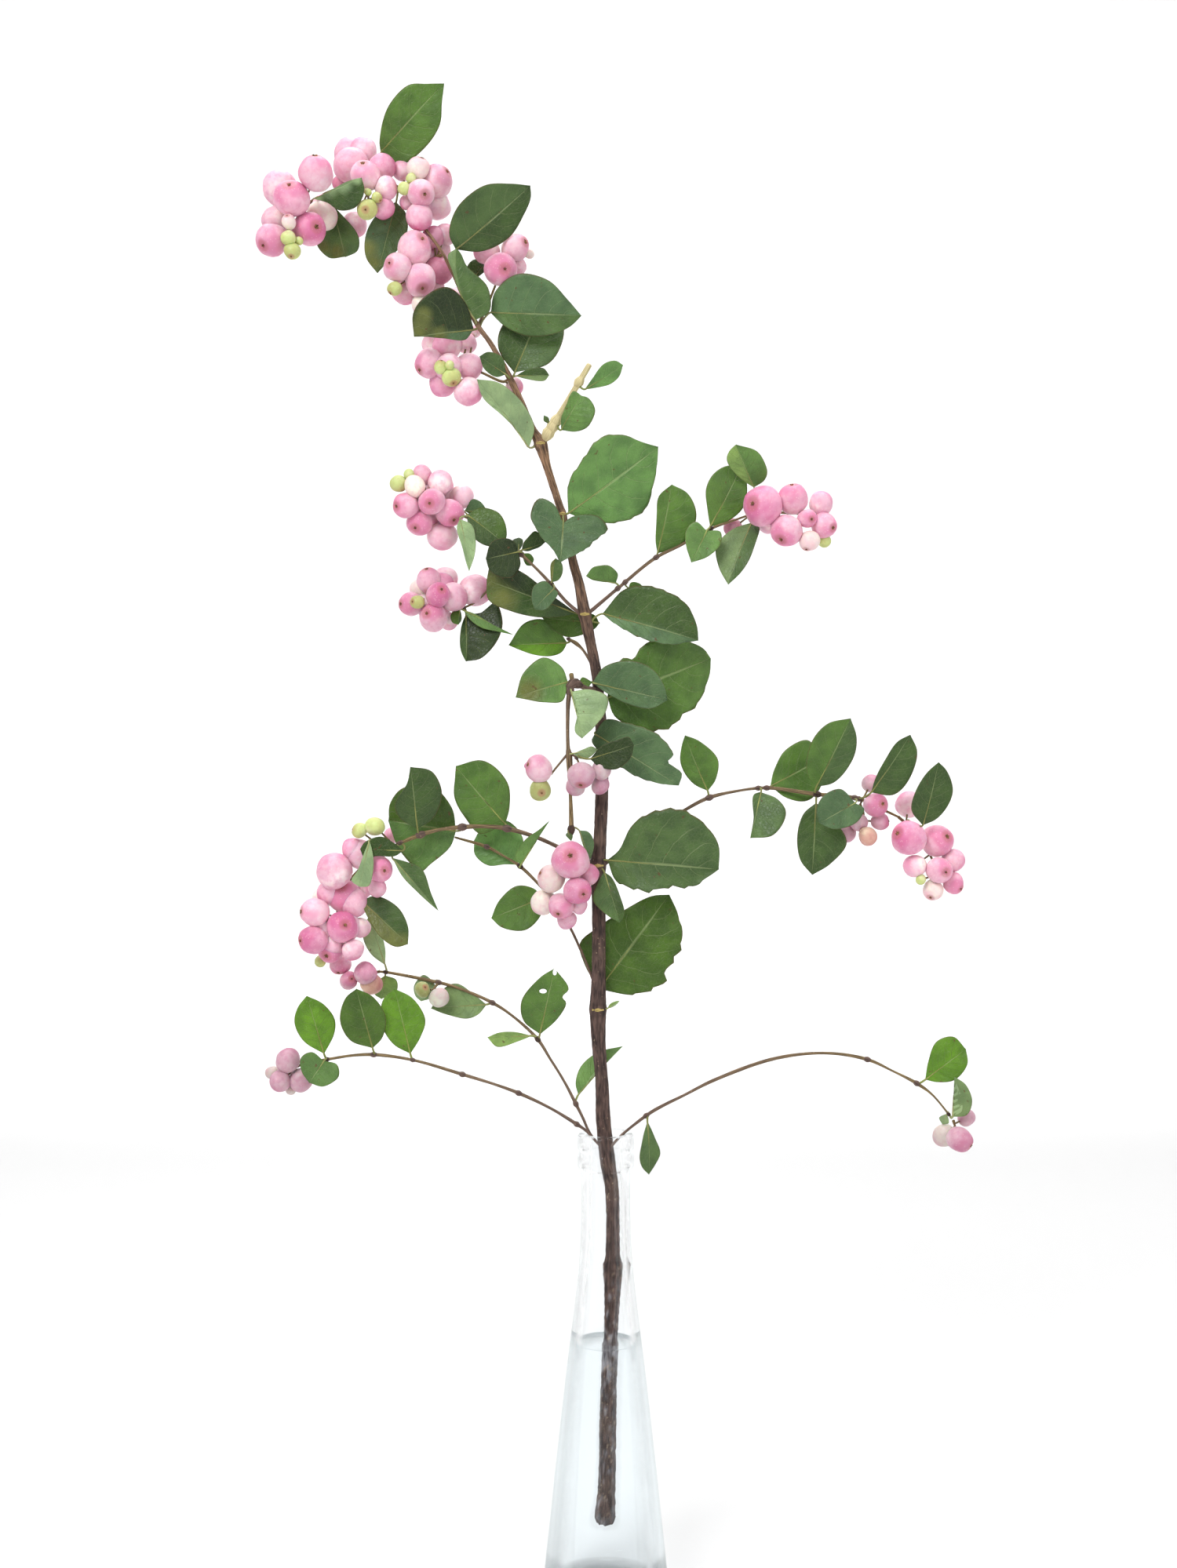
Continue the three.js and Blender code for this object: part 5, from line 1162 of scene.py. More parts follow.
@dataclass(frozen=True)
class ClearFinish(Finish):
    """Clear glass or water: light goes straight through the face and bends at the edges, which are tinted
    darker, partly as painted shade.
    """

    colour: Colour = (0.987, 0.994, 0.997)
    # rim: the body's own green tint where it is seen edge-on, deepened into painted shade for the darker
    # edges that bent light gives
    rim: Colour = (0.46, 0.56, 0.555)
    ior: float = 1.5
    ripple: float = 0.0015
    bend: float = 1.0

    def dress(self, nodes: Nodes) -> bpy.types.NodeSocket:
        """Adds the clear body's nodes.

        Args:
            nodes: The material's node tree.

        Returns:
            The shader's socket.
        """
        normal = nodes.bump(nodes.noise(9, 1), self.ripple, 0.002)
        smear = nodes.ramp(nodes.noise(60, 3), 0.45, 0.8, (0.0, 0.004))
        weight = nodes.node("ShaderNodeLayerWeight", {"Blend": 0.5, "Normal": normal}).outputs["Facing"]
        colour = nodes.mixed(nodes.ramp(weight, 0.5, 1.0), self.colour, self.rim)
        body = nodes.body(colour, smear, IOR=self.ior, Transmission_Weight=1.0, Normal=normal)
        through = nodes.node("ShaderNodeBsdfTransparent", {"Color": colour}).outputs[0]
        share = nodes.ramp(weight, 0.3, 0.7, (0.06, self.bend))
        return nodes.node("ShaderNodeMixShader", {0: share, 1: through, 2: body}).outputs[0]


@dataclass(frozen=True)
class StudioFinish(Finish):
    """Pale seamless studio floor and backdrop, very slightly uneven, with painted shade on the floor near the
    part.
    """

    # painted shade: the floor near the part is darker than the backdrop far behind, to even out the light
    # that falls on them
    near: Colour = (0.7, 0.7, 0.7)
    far: Colour = (0.95, 0.95, 0.95)

    def dress(self, nodes: Nodes) -> bpy.types.NodeSocket:
        """Adds the backdrop's nodes.

        Args:
            nodes: The material's node tree.

        Returns:
            The shader's socket.
        """
        away = nodes.node("ShaderNodeSeparateXYZ", {0: nodes.here()}).outputs[1]
        colour = nodes.mixed(nodes.ramp(away, 0.9, 1.6), self.near, self.far)
        fibre = nodes.mixed(nodes.noise(90, 3), (0.995, 0.995, 0.995), (1.0, 1.0, 1.0))
        return nodes.body(nodes.tinted(colour, fibre), 0.9, Specular_IOR_Level=0.1)


PEELED_FINISH = BarkFinish("peeled_wood", streak=(0.72, 0.68, 0.6), lift=(1.1, 1.08, 1.0), dots=0.1)
WATER_FINISH = ClearFinish(
    "water", (0.968, 0.989, 0.997), (0.91, 0.965, 0.975), ior=1.33, ripple=0.004, bend=0.5
)


@dataclass
class Palette:
    """All materials of the part, made once."""

    leaf: bpy.types.Material = field(default_factory=lambda: LeafFinish("leaf").make())
    berry: bpy.types.Material = field(default_factory=lambda: BerryFinish("berry_skin").make())
    calyx: bpy.types.Material = field(default_factory=lambda: CalyxFinish("dry_calyx").make())
    bark: bpy.types.Material = field(default_factory=lambda: BarkFinish("bark").make())
    peeled: bpy.types.Material = field(default_factory=lambda: PEELED_FINISH.make())
    glass: bpy.types.Material = field(default_factory=lambda: ClearFinish("clear_glass").make())
    water: bpy.types.Material = field(default_factory=lambda: WATER_FINISH.make())


FRAYED_LENGTH = 5.0  # mm of the stem's cut end that is split
FRAYED_DEPTH = 2.2
WOOD_SHARE = 0.88  # width of a twig's bark as a share of its width in the picture
LEAST_RADIUS = 0.5
WOOD_SLOT = 1  # number of the wood's material on a piece with leaves
KNOT_REACH = 3.0  # mm from a stalk's start within which its twig gets a knot
KNOT_SPACING = 9.0  # pixels that a swelling keeps from the nearest leaf
BERRY_UNEVENNESS = 0.0026

BARK_LOW = np.array(linear((71, 56, 52)))
BARK_HIGH = np.array(linear((118, 93, 72)))
BARK_WET = np.array(linear((74, 61, 58)))
# grey of the film on the wet wood, which also paints the silvery shine of air bubbles on it
SILVER = np.array(linear((150, 152, 160)))
SCAR = np.array(linear((176, 158, 96)))
FLECK = np.array(linear((176, 156, 132)))
TWIG_BROWN = np.array(linear((98, 80, 73)))
TWIG_GREEN = np.array(linear((116, 100, 66)))
PEELED = np.array(linear((218, 206, 164)))
PETIOLE = np.array(linear((140, 140, 84)))
LEAF_ALBEDO = np.array([0.84, 0.9, 0.74])  # what sheen and light from behind leave for the leaf's colour


def dress_piece(made: bpy.types.Object, slot: str, *nodes: str) -> None:
    """Ties a finished piece to the frame.

    Args:
        made: The piece.
        slot: Name of the record's material slot; not used.
        *nodes: CAD nodes that the piece stands for.
    """
    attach(made, "root")
    if nodes:
        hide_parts(*nodes)


class LeafBuilder:
    """Builds the blades and stalks of leaves into a mesh."""

    ROWS = 34
    HALF_COLUMNS = 9
    THICKNESS = 0.34
    TEETH = 7
    QUILT = 0.012  # height of the swelling between veins, as a share of the blade's half width
    FRILL = 0.036  # height of the margin's waves, as a share of the same
    STALK_RADII = (0.55, 0.16)
    STALK_SIDES = 6
    STALK_GAP = 0.6  # mm from the blade's end to the stalk's start under which no stalk is drawn
    UNDER = (0.45, 0.5)  # shares of the upper face's colour and of the palest tone in the under face

    def __init__(self, maker: MeshMaker, seed: int) -> None:
        """Keeps what the leaves are built with.

        Args:
            maker: The mesh that the leaves go into.
            seed: Number that fixes the source of chance.
        """
        self.maker = maker
        self.chance = np.random.default_rng(seed)

    def add(self, spec: Leaf) -> None:
        """Adds one leaf to the mesh.

        Args:
            spec: The leaf.
        """
        start, end = at(spec.base), at(spec.tip)
        length = float(np.linalg.norm(end - start))
        along = (end - start) / length
        sight = unit(EYE - (start + end) / 2)
        across = unit(np.cross(along, sight))
        turn = Matrix.Rotation(-math.radians(spec.roll), 3, Vector(along))
        across = np.array(turn @ Vector(across))
        normal = np.cross(across, along)
        plane = (start, along, across, normal, length)
        margins = [self.margin(edge, *plane) for edge in (spec.left, spec.right)]
        order = sorted((0, 1), key=lambda k: margins[k][:, 1].mean())
        low, high = margins[order[0]], margins[order[1]]
        widest = max(1.0, float(np.abs(np.vstack([low, high])[:, 1]).max()))
        rows, half = self.ROWS, self.HALF_COLUMNS
        shares = np.linspace(0, 1, rows + 1)
        middle = np.stack([shares, spec.bow * SCALE * 4 * shares * (1 - shares)], axis=1)
        steps = np.linspace(-1, 1, 2 * half + 1)
        phase = float(self.chance.uniform(0, 6))
        grid = np.empty((rows + 1, len(steps), 3))
        slim = np.empty((rows + 1, len(steps)))
        for j, step in enumerate(steps):
            margin = low if step < 0 else high
            flat = middle + abs(step) * (margin - middle)
            share, lateral = flat[:, 0], flat[:, 1]
            crease = np.sqrt(lateral**2 + 0.5) - math.sqrt(0.5)
            side = 0 if step < 0 else 1
            within = np.sin(math.pi * np.clip(share, 0, 1))
            notch = spec.teeth[order[side]] * (1 - (self.TEETH * share) % 1) * within
            lateral = lateral + (0.5 - side) * 2 * notch * abs(step) ** 5
            relief = self.relief(spec, share, lateral, step, (length, widest, phase))
            lift = crease * spec.fold + relief
            grid[:, j] = (
                start
                + np.outer(share * length, along)
                + np.outer(lateral, across)
                + np.outer(lift, normal)
            )
            ends = np.clip(8 * np.sin(math.pi * shares), 0.25, 1)
            slim[:, j] = self.THICKNESS * (1 - 0.6 * abs(step) ** 2) * ends
        self.skin(grid, slim, normal, steps, shares, spec, order)
        self.stalk(spec, start, grid[:, half], along, length)

    def relief(
        self, spec: Leaf, share: Array, lateral: Array, step: float, sizes: tuple[float, float, float]
    ) -> Array:
        """Works out how far a column of the blade stands above the leaf's creased plane.

        Args:
            spec: The leaf.
            share: Place of each point along the midrib, from 0 to 1.
            lateral: Place of each point across the blade in mm.
            step: Place of the column across the blade, from -1 to 1.
            sizes: Length and half width of the blade in mm, and the place where its frill starts.

        Returns:
            The height of each point in mm.
        """
        length, widest, phase = sizes
        inside = np.clip(share, 0, 1)
        arch = 4 * inside * (1 - inside) * spec.curl * length
        ripple = spec.wave * np.sin(5 * share + 2) * (np.abs(lateral) / widest) ** 2 * np.sign(lateral)
        frill = self.FRILL * widest * np.sin(11 * share + phase + step) * abs(step) ** 3
        rows = VEIN_ROWS * share - VEIN_SLANT * abs(step) ** VEIN_BEND + (VEIN_SHIFT if step > 0 else 0)
        quilt = self.QUILT * widest * np.cos(2 * math.pi * rows)
        quilt = quilt * np.sin(math.pi * min(abs(step), 1.0)) * np.sin(math.pi * inside)
        return ripple + arch + frill - quilt

    def margin(
        self, edge: Any, start: Array, along: Array, across: Array, normal: Array, length: float
    ) -> Array:
        """Lays a margin of picture points on the leaf's plane as a smooth line.

        Args:
            edge: The margin's picture points from base to tip.
            start: The midrib's lower end.
            along: Direction of the midrib.
            across: Direction across the blade.
            normal: Normal of the leaf's plane.
            length: Length of the midrib.

        Returns:
            Share of the midrib and mm across, at each row of the grid.
        """
        flat = [np.array([0.0, 0.0])]
        for column, row in edge:
            ray = at((column, row, 0)) - EYE
            reach = float((start - EYE) @ normal) / float(ray @ normal)
            offset = EYE + ray * reach - start
            flat.append(np.array([float(offset @ along), float(offset @ across)]))
        flat.append(np.array([length, 0.0]))
        line = spline(flat, self.ROWS + 1)
        return np.stack([line[:, 0] / length, line[:, 1]], axis=1)

    def skin(
        self,
        grid: Array,
        slim: Array,
        normal: Array,
        steps: Array,
        shares: Array,
        spec: Leaf,
        order: list[int],
    ) -> None:
        """Closes the blade's two faces and its rim.

        Args:
            grid: Points of the middle surface.
            slim: Thickness at each point.
            normal: Normal of the leaf's plane.
            steps: Place of each column across the blade, from -1 to 1.
            shares: Place of each row along the midrib, from 0 to 1.
            spec: The leaf: its tones, stains and holes.
            order: Which margin is on the low side and which on the high side.
        """
        rows, columns = grid.shape[:2]
        offset = slim[..., None] * normal / 2
        points = np.vstack([(grid + offset).reshape(-1, 3), (grid - offset).reshape(-1, 3)])
        place = np.stack(np.meshgrid(shares, (steps + 1) / 2, indexing="ij"), axis=-1).reshape(-1, 2)
        tones = (spec.tone, spec.second or spec.tone)
        halves = [LEAF_ALBEDO * np.array(linear(tones[k].value)) for k in order]
        blend = np.clip(steps * 12 + 0.5, 0, 1)[None, :, None]
        upper = halves[0] * (1 - blend) + halves[1] * blend
        vary = float(self.chance.uniform(0.9, 1.12))
        fade = 1 + 0.25 * (shares[:, None, None] - 0.5) * float(self.chance.uniform(-1, 1))
        upper = np.broadcast_to(upper * fade * vary, (rows, columns, 3)).reshape(-1, 3)
        flat = grid.reshape(-1, 3)
        size = SCALE * (VIEW_DISTANCE + flat[:, 1]) / VIEW_DISTANCE
        columns_seen = EYE_COLUMN + (flat[:, 0] - EYE[0]) / size
        rows_seen = EYE_ROW - (flat[:, 2] - EYE[2]) / size
        seen = np.stack([columns_seen, rows_seen], axis=1)
        for column, row, reach, tone in spec.stains:
            share = np.clip(1.5 - 1.5 * np.linalg.norm(seen - (column, row), axis=1) / reach, 0, 1)[:, None]
            upper = upper * (1 - share) + LEAF_ALBEDO * np.array(linear(Tone[tone.upper()].value)) * share
        under = upper * self.UNDER[0] + np.array(linear(Tone.PALE.value)) * self.UNDER[1]
        count = rows * columns
        cells = seen.reshape(rows, columns, 2)
        middles = (cells[:-1, :-1] + cells[1:, 1:]) / 2
        kept = np.zeros((rows + 1, columns + 1), dtype=bool)
        kept[1:-1, 1:-1] = True
        for column, row, wide, tall in spec.holes:
            kept[1:-1, 1:-1] &= np.linalg.norm((middles - (column, row)) / (wide, tall), axis=2) > 1
        self.round_holes(points, seen, kept, spec)
        faces: list[tuple[int, ...]] = []
        for r in range(rows - 1):
            for c in range(columns - 1):
                if not kept[r + 1, c + 1]:
                    continue
                a = r * columns + c
                loop = (a, a + 1, a + columns + 1, a + columns)
                faces.append(loop)
                faces.append(tuple(i + count for i in reversed(loop)))
                beside = (kept[r, c + 1], kept[r + 1, c + 2], kept[r + 2, c + 1], kept[r + 1, c])
                for k, near in enumerate(beside):
                    if not near:
                        first, second = loop[k], loop[(k + 1) % 4]
                        faces.append((second, first, first + count, second + count))
        self.maker.add(points, faces, np.vstack([upper, under]), np.vstack([place, place]))

    @staticmethod
    def round_holes(points: Array, seen: Array, kept: Array, spec: Leaf) -> None:
        """Moves the points at a hole's edge onto its oval, so that the edge is round.

        Args:
            points: The blade's points in mm, upper face first; changed in place.
            seen: Place of each point of the one face in the picture.
            kept: Which cells of the grid are kept, with a border of cells that aren't.
            spec: The leaf.
        """
        cells = (kept[:-1, :-1], kept[1:, :-1], kept[:-1, 1:], kept[1:, 1:])
        inner = np.zeros(cells[0].shape, dtype=bool)
        inner[1:-1, 1:-1] = True
        edge = (inner & np.any(cells, axis=0) & ~np.all(cells, axis=0)).reshape(-1)
        for column, row, wide, tall in spec.holes:
            away = (seen - (column, row)) / (wide, tall)
            reach = np.linalg.norm(away, axis=1)
            near = edge & (reach < 2) & (reach > 0.2)
            shift = (seen - (column, row))[near] * (1 / reach[near] - 1)[:, None] * SCALE
            step = np.stack([shift[:, 0], np.zeros(len(shift)), -shift[:, 1]], axis=1)
            for face in (0, len(seen)):
                points[face + np.flatnonzero(near)] += step

    def stalk(self, spec: Leaf, start: Array, rib: Array, along: Array, length: float) -> None:
        """Adds the leaf's stalk, which runs on as the midrib under the blade.

        Args:
            spec: The leaf.
            start: The blade's lower end.
            rib: The midrib's points.
            along: Direction of the midrib.
            length: Length of the midrib.
        """
        foot = None if spec.root is None else at(spec.root)
        onward = [rib[k] for k in range(3, int(self.ROWS * 0.7), 4)]
        path = [start, *onward]
        if foot is not None and np.linalg.norm(foot - start) > self.STALK_GAP:
            bend = (foot + start) / 2 - along * min(1.0, 0.1 * length)
            path = [foot, bend, *path]
        line = spline(path, 8 + 2 * len(path))
        radii = np.linspace(*self.STALK_RADII, len(line))
        colours = PETIOLE * 0.7 + np.array(linear(spec.tone.value)) * 0.3
        self.maker.tube(line, radii, colours, self.STALK_SIDES, WOOD_SLOT)


class Twigs:
    """The woody stem, the leafy twigs and the single leaves."""

    STEM_POINTS = 560
    STEM_SIDES = 28
    TWIG_SIDES = 10
    KNOT_SIDES = 9
    SCAR_SIDES = 8
    KNOT = ((-1.8, 0.8), (-0.9, 1.25), (0, 1.5), (0.9, 1.25), (1.8, 0.8))  # steps and widths in radii
    BROWN_FROM, BROWN_OVER = 420, 100  # mm: where the dark low bark starts to turn brown, over what height
    STEM_WIDTH, STEM_UNEVEN = 1.04, 0.05  # shares of the width in the picture
    TWIG_UNEVEN = 0.06
    ROUGH_TOP, ROUGH_OVER = 220, 60  # mm: under this height the bark gets rougher, over what height
    FINE_BARK, COARSE_BARK = 0.1, 0.22  # mm of unevenness everywhere, and more where it is rough
    CUT_DOME = 0.14
    NODE_SWELL, NODE_REACH = 0.12, 1.8  # a node's swelling as a share of the radius, and its reach in mm
    LINE_SHADE, LINE_PLACE, LINE_WIDTH = 0.35, 2.2, 0.8  # dark line beside a node
    FILM_TOP, FILM_OVER, FILM_MOST = 150, 15, 0.55  # grey film on the wood, partly painted shine of air bubbles: heights in mm, largest share
    WATERLINE, WATERLINE_REACH = 110, 13  # mm: where the film is thickest
    FLECK_TOP, FLECK_OVER = 210, 30  # mm: under this height pale flecks are common, over what height
    FLECK_LEAST, FLECK_MOST = 0.15, 0.45
    SCAR_ANGLES = (-0.7, 0.0, 0.7)
    SCAR_RADII = (0.6, 0.95, 0.6)

    def __init__(self, palette: Palette) -> None:
        """Keeps the materials."""
        self.palette = palette

    @staticmethod
    def wood(maker: MeshMaker, route: Any, low: Array, high: Array) -> None:
        """Adds one route of wood with its swellings.

        Args:
            maker: The mesh that it goes into.
            route: Column, row, width in pixels and depth at each point.
            low: Colour at the start.
            high: Colour at the end.
        """
        radius = WOOD_SHARE * SCALE / 2
        rich = [np.array([*at((c, r, d)), max(radius * w, LEAST_RADIUS)]) for c, r, w, d in route]
        line = spline(rich, max(12, 7 * len(rich)))
        shares = np.linspace(0, 1, len(line))[:, None]
        bumps = np.array([noise.noise(Vector(p[:3]) * 0.35) for p in line])
        radii = line[:, 3] * (1 + Twigs.TWIG_UNEVEN * bumps)
        tints = low * (1 - shares) + high * shares
        maker.tube(line[:, :3], radii, tints, Twigs.TWIG_SIDES, WOOD_SLOT)

    @staticmethod
    def swellings(routes: Any) -> list[tuple[float, float, float]]:
        """Finds the places along a twig that are wider than what lies before and after them.

        Args:
            routes: The twig's routes.

        Returns:
            Column, row and depth of each.
        """
        found = []
        for route in routes:
            for before, here, after in zip(route, route[1:], route[2:]):
                if here[2] > max(before[2], after[2]):
                    found.append((here[0], here[1], here[3]))
        return found

    @staticmethod
    def knots(maker: MeshMaker, routes: Any, places: Iterable[Sequence[float]], tint: Array) -> None:
        """Adds the small swellings where leaves grow from a twig.

        Args:
            maker: The mesh that they go into.
            routes: The twig's routes.
            places: Where the leaf stalks start.
            tint: Colour of the bark there.
        """
        lines = []
        for route in routes:
            rich = [np.array([*at((c, r, d)), max(w * SCALE / 2, 0.6)]) for c, r, w, d in route]
            lines.append(spline(rich, 80))
        every = np.vstack(lines)
        along = np.vstack([np.gradient(line[:, :3], axis=0) for line in lines])
        for place in places:
            gaps = np.linalg.norm(every[:, :3] - at(place), axis=1)
            near = int(np.argmin(gaps))
            if gaps[near] > KNOT_REACH:
                continue
            way, radius = unit(along[near]), every[near, 3]
            points = [every[near, :3] + way * step * radius for step, _ in Twigs.KNOT]
            radii = radius * np.array([wide for _, wide in Twigs.KNOT])
            maker.tube(np.array(points), radii, tint, Twigs.KNOT_SIDES, WOOD_SLOT)

    def stem(self) -> None:
        """Builds the main stem with its nodes and scars; the water shows its wet foot a little wider."""
        rich = [np.array([*at((c, r, d)), w * SCALE / 2]) for c, r, w, d in STEM]
        line = spline(rich, self.STEM_POINTS)
        heights = line[:, 2]
        share = np.clip((heights - self.BROWN_FROM) / self.BROWN_OVER, 0, 1)[:, None]
        tints = BARK_LOW * (1 - share) + BARK_HIGH * share
        wet = np.clip((WATER_LEVEL + 1 - heights) / 2, 0, 1)
        tints = tints * (1 - wet[:, None]) + BARK_WET * wet[:, None]
        knobs = np.array([noise.noise(Vector(p[:3]) * 0.22) for p in line])
        radii = line[:, 3] * (self.STEM_WIDTH + self.STEM_UNEVEN * knobs) * (1 + WATER_WIDENS * wet)
        for place in STEM_NODES:
            away = np.linalg.norm(line[:, :3] - at(place), axis=1)
            radii = radii * (1 + self.NODE_SWELL * np.exp(-((away / self.NODE_REACH) ** 2)))
            dark = np.exp(-(((away - self.LINE_PLACE) / self.LINE_WIDTH) ** 2))
            tints = tints * (1 - self.LINE_SHADE * dark)[:, None]
        coarse = np.clip((self.ROUGH_TOP - heights) / self.ROUGH_OVER, 0, 1)
        rough = self.FINE_BARK + self.COARSE_BARK * coarse
        maker = MeshMaker()
        maker.tube(line[:, :3], radii, tints, self.STEM_SIDES, dome=self.CUT_DOME, rough=rough)
        maker.tints[-1] = self.weathered(maker.points[-1], maker.tints[-1])
        maker.points[-1] = self.frayed(maker.points[-1], line[int(np.argmin(heights)), :3])
        for place in STEM_NODES[1:]:
            near = int(np.argmin(np.linalg.norm(line[:, :3] - at(place), axis=1)))
            out = radii[near] * 0.9
            rim = [(out * math.sin(turn), -out * math.cos(turn), 0.2) for turn in self.SCAR_ANGLES]
            maker.tube(line[near, :3] + np.array(rim), np.array(self.SCAR_RADII), SCAR, self.SCAR_SIDES)
        dress_piece(maker.piece("woody_stem", [self.palette.bark]), "bark", "main_stem")

    @staticmethod
    def frayed(points: Array, foot: Array) -> Array:
        """Spreads and splits the cut end of the stem.

        Args:
            points: The stem's points in mm.
            foot: The middle of the cut end.

        Returns:
            The points in their new places.
        """
        made = np.array(points)
        share = np.clip((foot[2] + FRAYED_LENGTH - made[:, 2]) / FRAYED_LENGTH, 0, 1)
        splits = np.array([noise.noise(Vector(p) * 1.5) for p in points])
        teeth = np.array([noise.noise(Vector((p[0] * 1.4, p[1] * 1.4, 0.5))) for p in points])
        out = made[:, :2] - foot[:2]
        made[:, :2] += out * (share * (0.1 + 0.3 * splits))[:, None]
        made[:, 2] += share**2 * teeth * FRAYED_DEPTH
        return made

    @staticmethod
    def weathered(points: Array, tints: Array) -> Array:
        """Lays grey films, which also paint the silvery shine of air bubbles, and small pale flecks on the
        wood that stands in the bottle.

        Args:
            points: The stem's points in mm.
            tints: A colour for each.

        Returns:
            The new colours.
        """
        made = []
        for point, tint in zip(points, tints):
            height = point[2]
            film = noise.noise(Vector((point[0] * 0.5, point[1] * 0.5, height * 0.25)))
            fleck = noise.noise(Vector(point) * 1.3)
            lower = min(max((Twigs.FILM_TOP - height) / Twigs.FILM_OVER, 0), 1)
            line = math.exp(-(((height - Twigs.WATERLINE) / Twigs.WATERLINE_REACH) ** 2))
            grey = min(max(film + 0.6 * line - 0.16, 0), Twigs.FILM_MOST) * lower
            common = min(max((Twigs.FLECK_TOP - height) / Twigs.FLECK_OVER, Twigs.FLECK_LEAST), 1)
            pale = Twigs.FLECK_MOST * min(max(fleck * 5 - 2.2, 0), 1) * common
            colour = tint * (1 - grey) + SILVER * grey
            made.append(colour * (1 - pale) + FLECK * pale)
        return np.array(made)

    def twigs(self) -> None:
        """Builds every leafy twig as one piece."""
        for number, (name, spec) in enumerate(TWIGS.items()):
            maker = MeshMaker()
            builder = LeafBuilder(maker, SEED + number)
            for one in spec.leaves:
                builder.add(one)
            peeled = spec.wood is Wood.PEELED
            for route in spec.routes:
                low, high = (PEELED, PEELED) if peeled else (TWIG_BROWN, TWIG_GREEN)
                self.wood(maker, route, low, high)
            wood = self.palette.peeled if peeled else self.palette.bark
            stalks = [one.root for one in spec.leaves if one.root is not None]
            roots = list(stalks)
            for swell in self.swellings(spec.routes):
                if all(math.dist(swell[:2], stalk[:2]) > KNOT_SPACING for stalk in stalks):
                    roots.append(swell)
            self.knots(maker, spec.routes, roots, PEELED if peeled else TWIG_BROWN * 0.9)
            made = maker.piece(name + "_grown", [self.palette.leaf, wood])
            dress_piece(made, spec.wood.value, name)
            LOG.info("twig %s: %d leaves", name, len(spec.leaves))

    def leaves(self) -> None:
        """Builds the leaves that grow straight on the stem, each node as one piece."""
        for number, (name, specs) in enumerate(STEM_LEAVES.items()):
            maker = MeshMaker()
            builder = LeafBuilder(maker, 10 * SEED + number)
            for one in specs if isinstance(specs, list) else [specs]:
                builder.add(one)
            made = maker.piece(name + "_blade", [self.palette.leaf, self.palette.bark])
            dress_piece(made, "leaf", name)
        LOG.info("stem leaves: %d", len(STEM_LEAVES))


@dataclass
class Berry:
    """One berry of a bunch, in place."""

    place: tuple[float, float]
    radius: float
    centre: Array
    deep: float


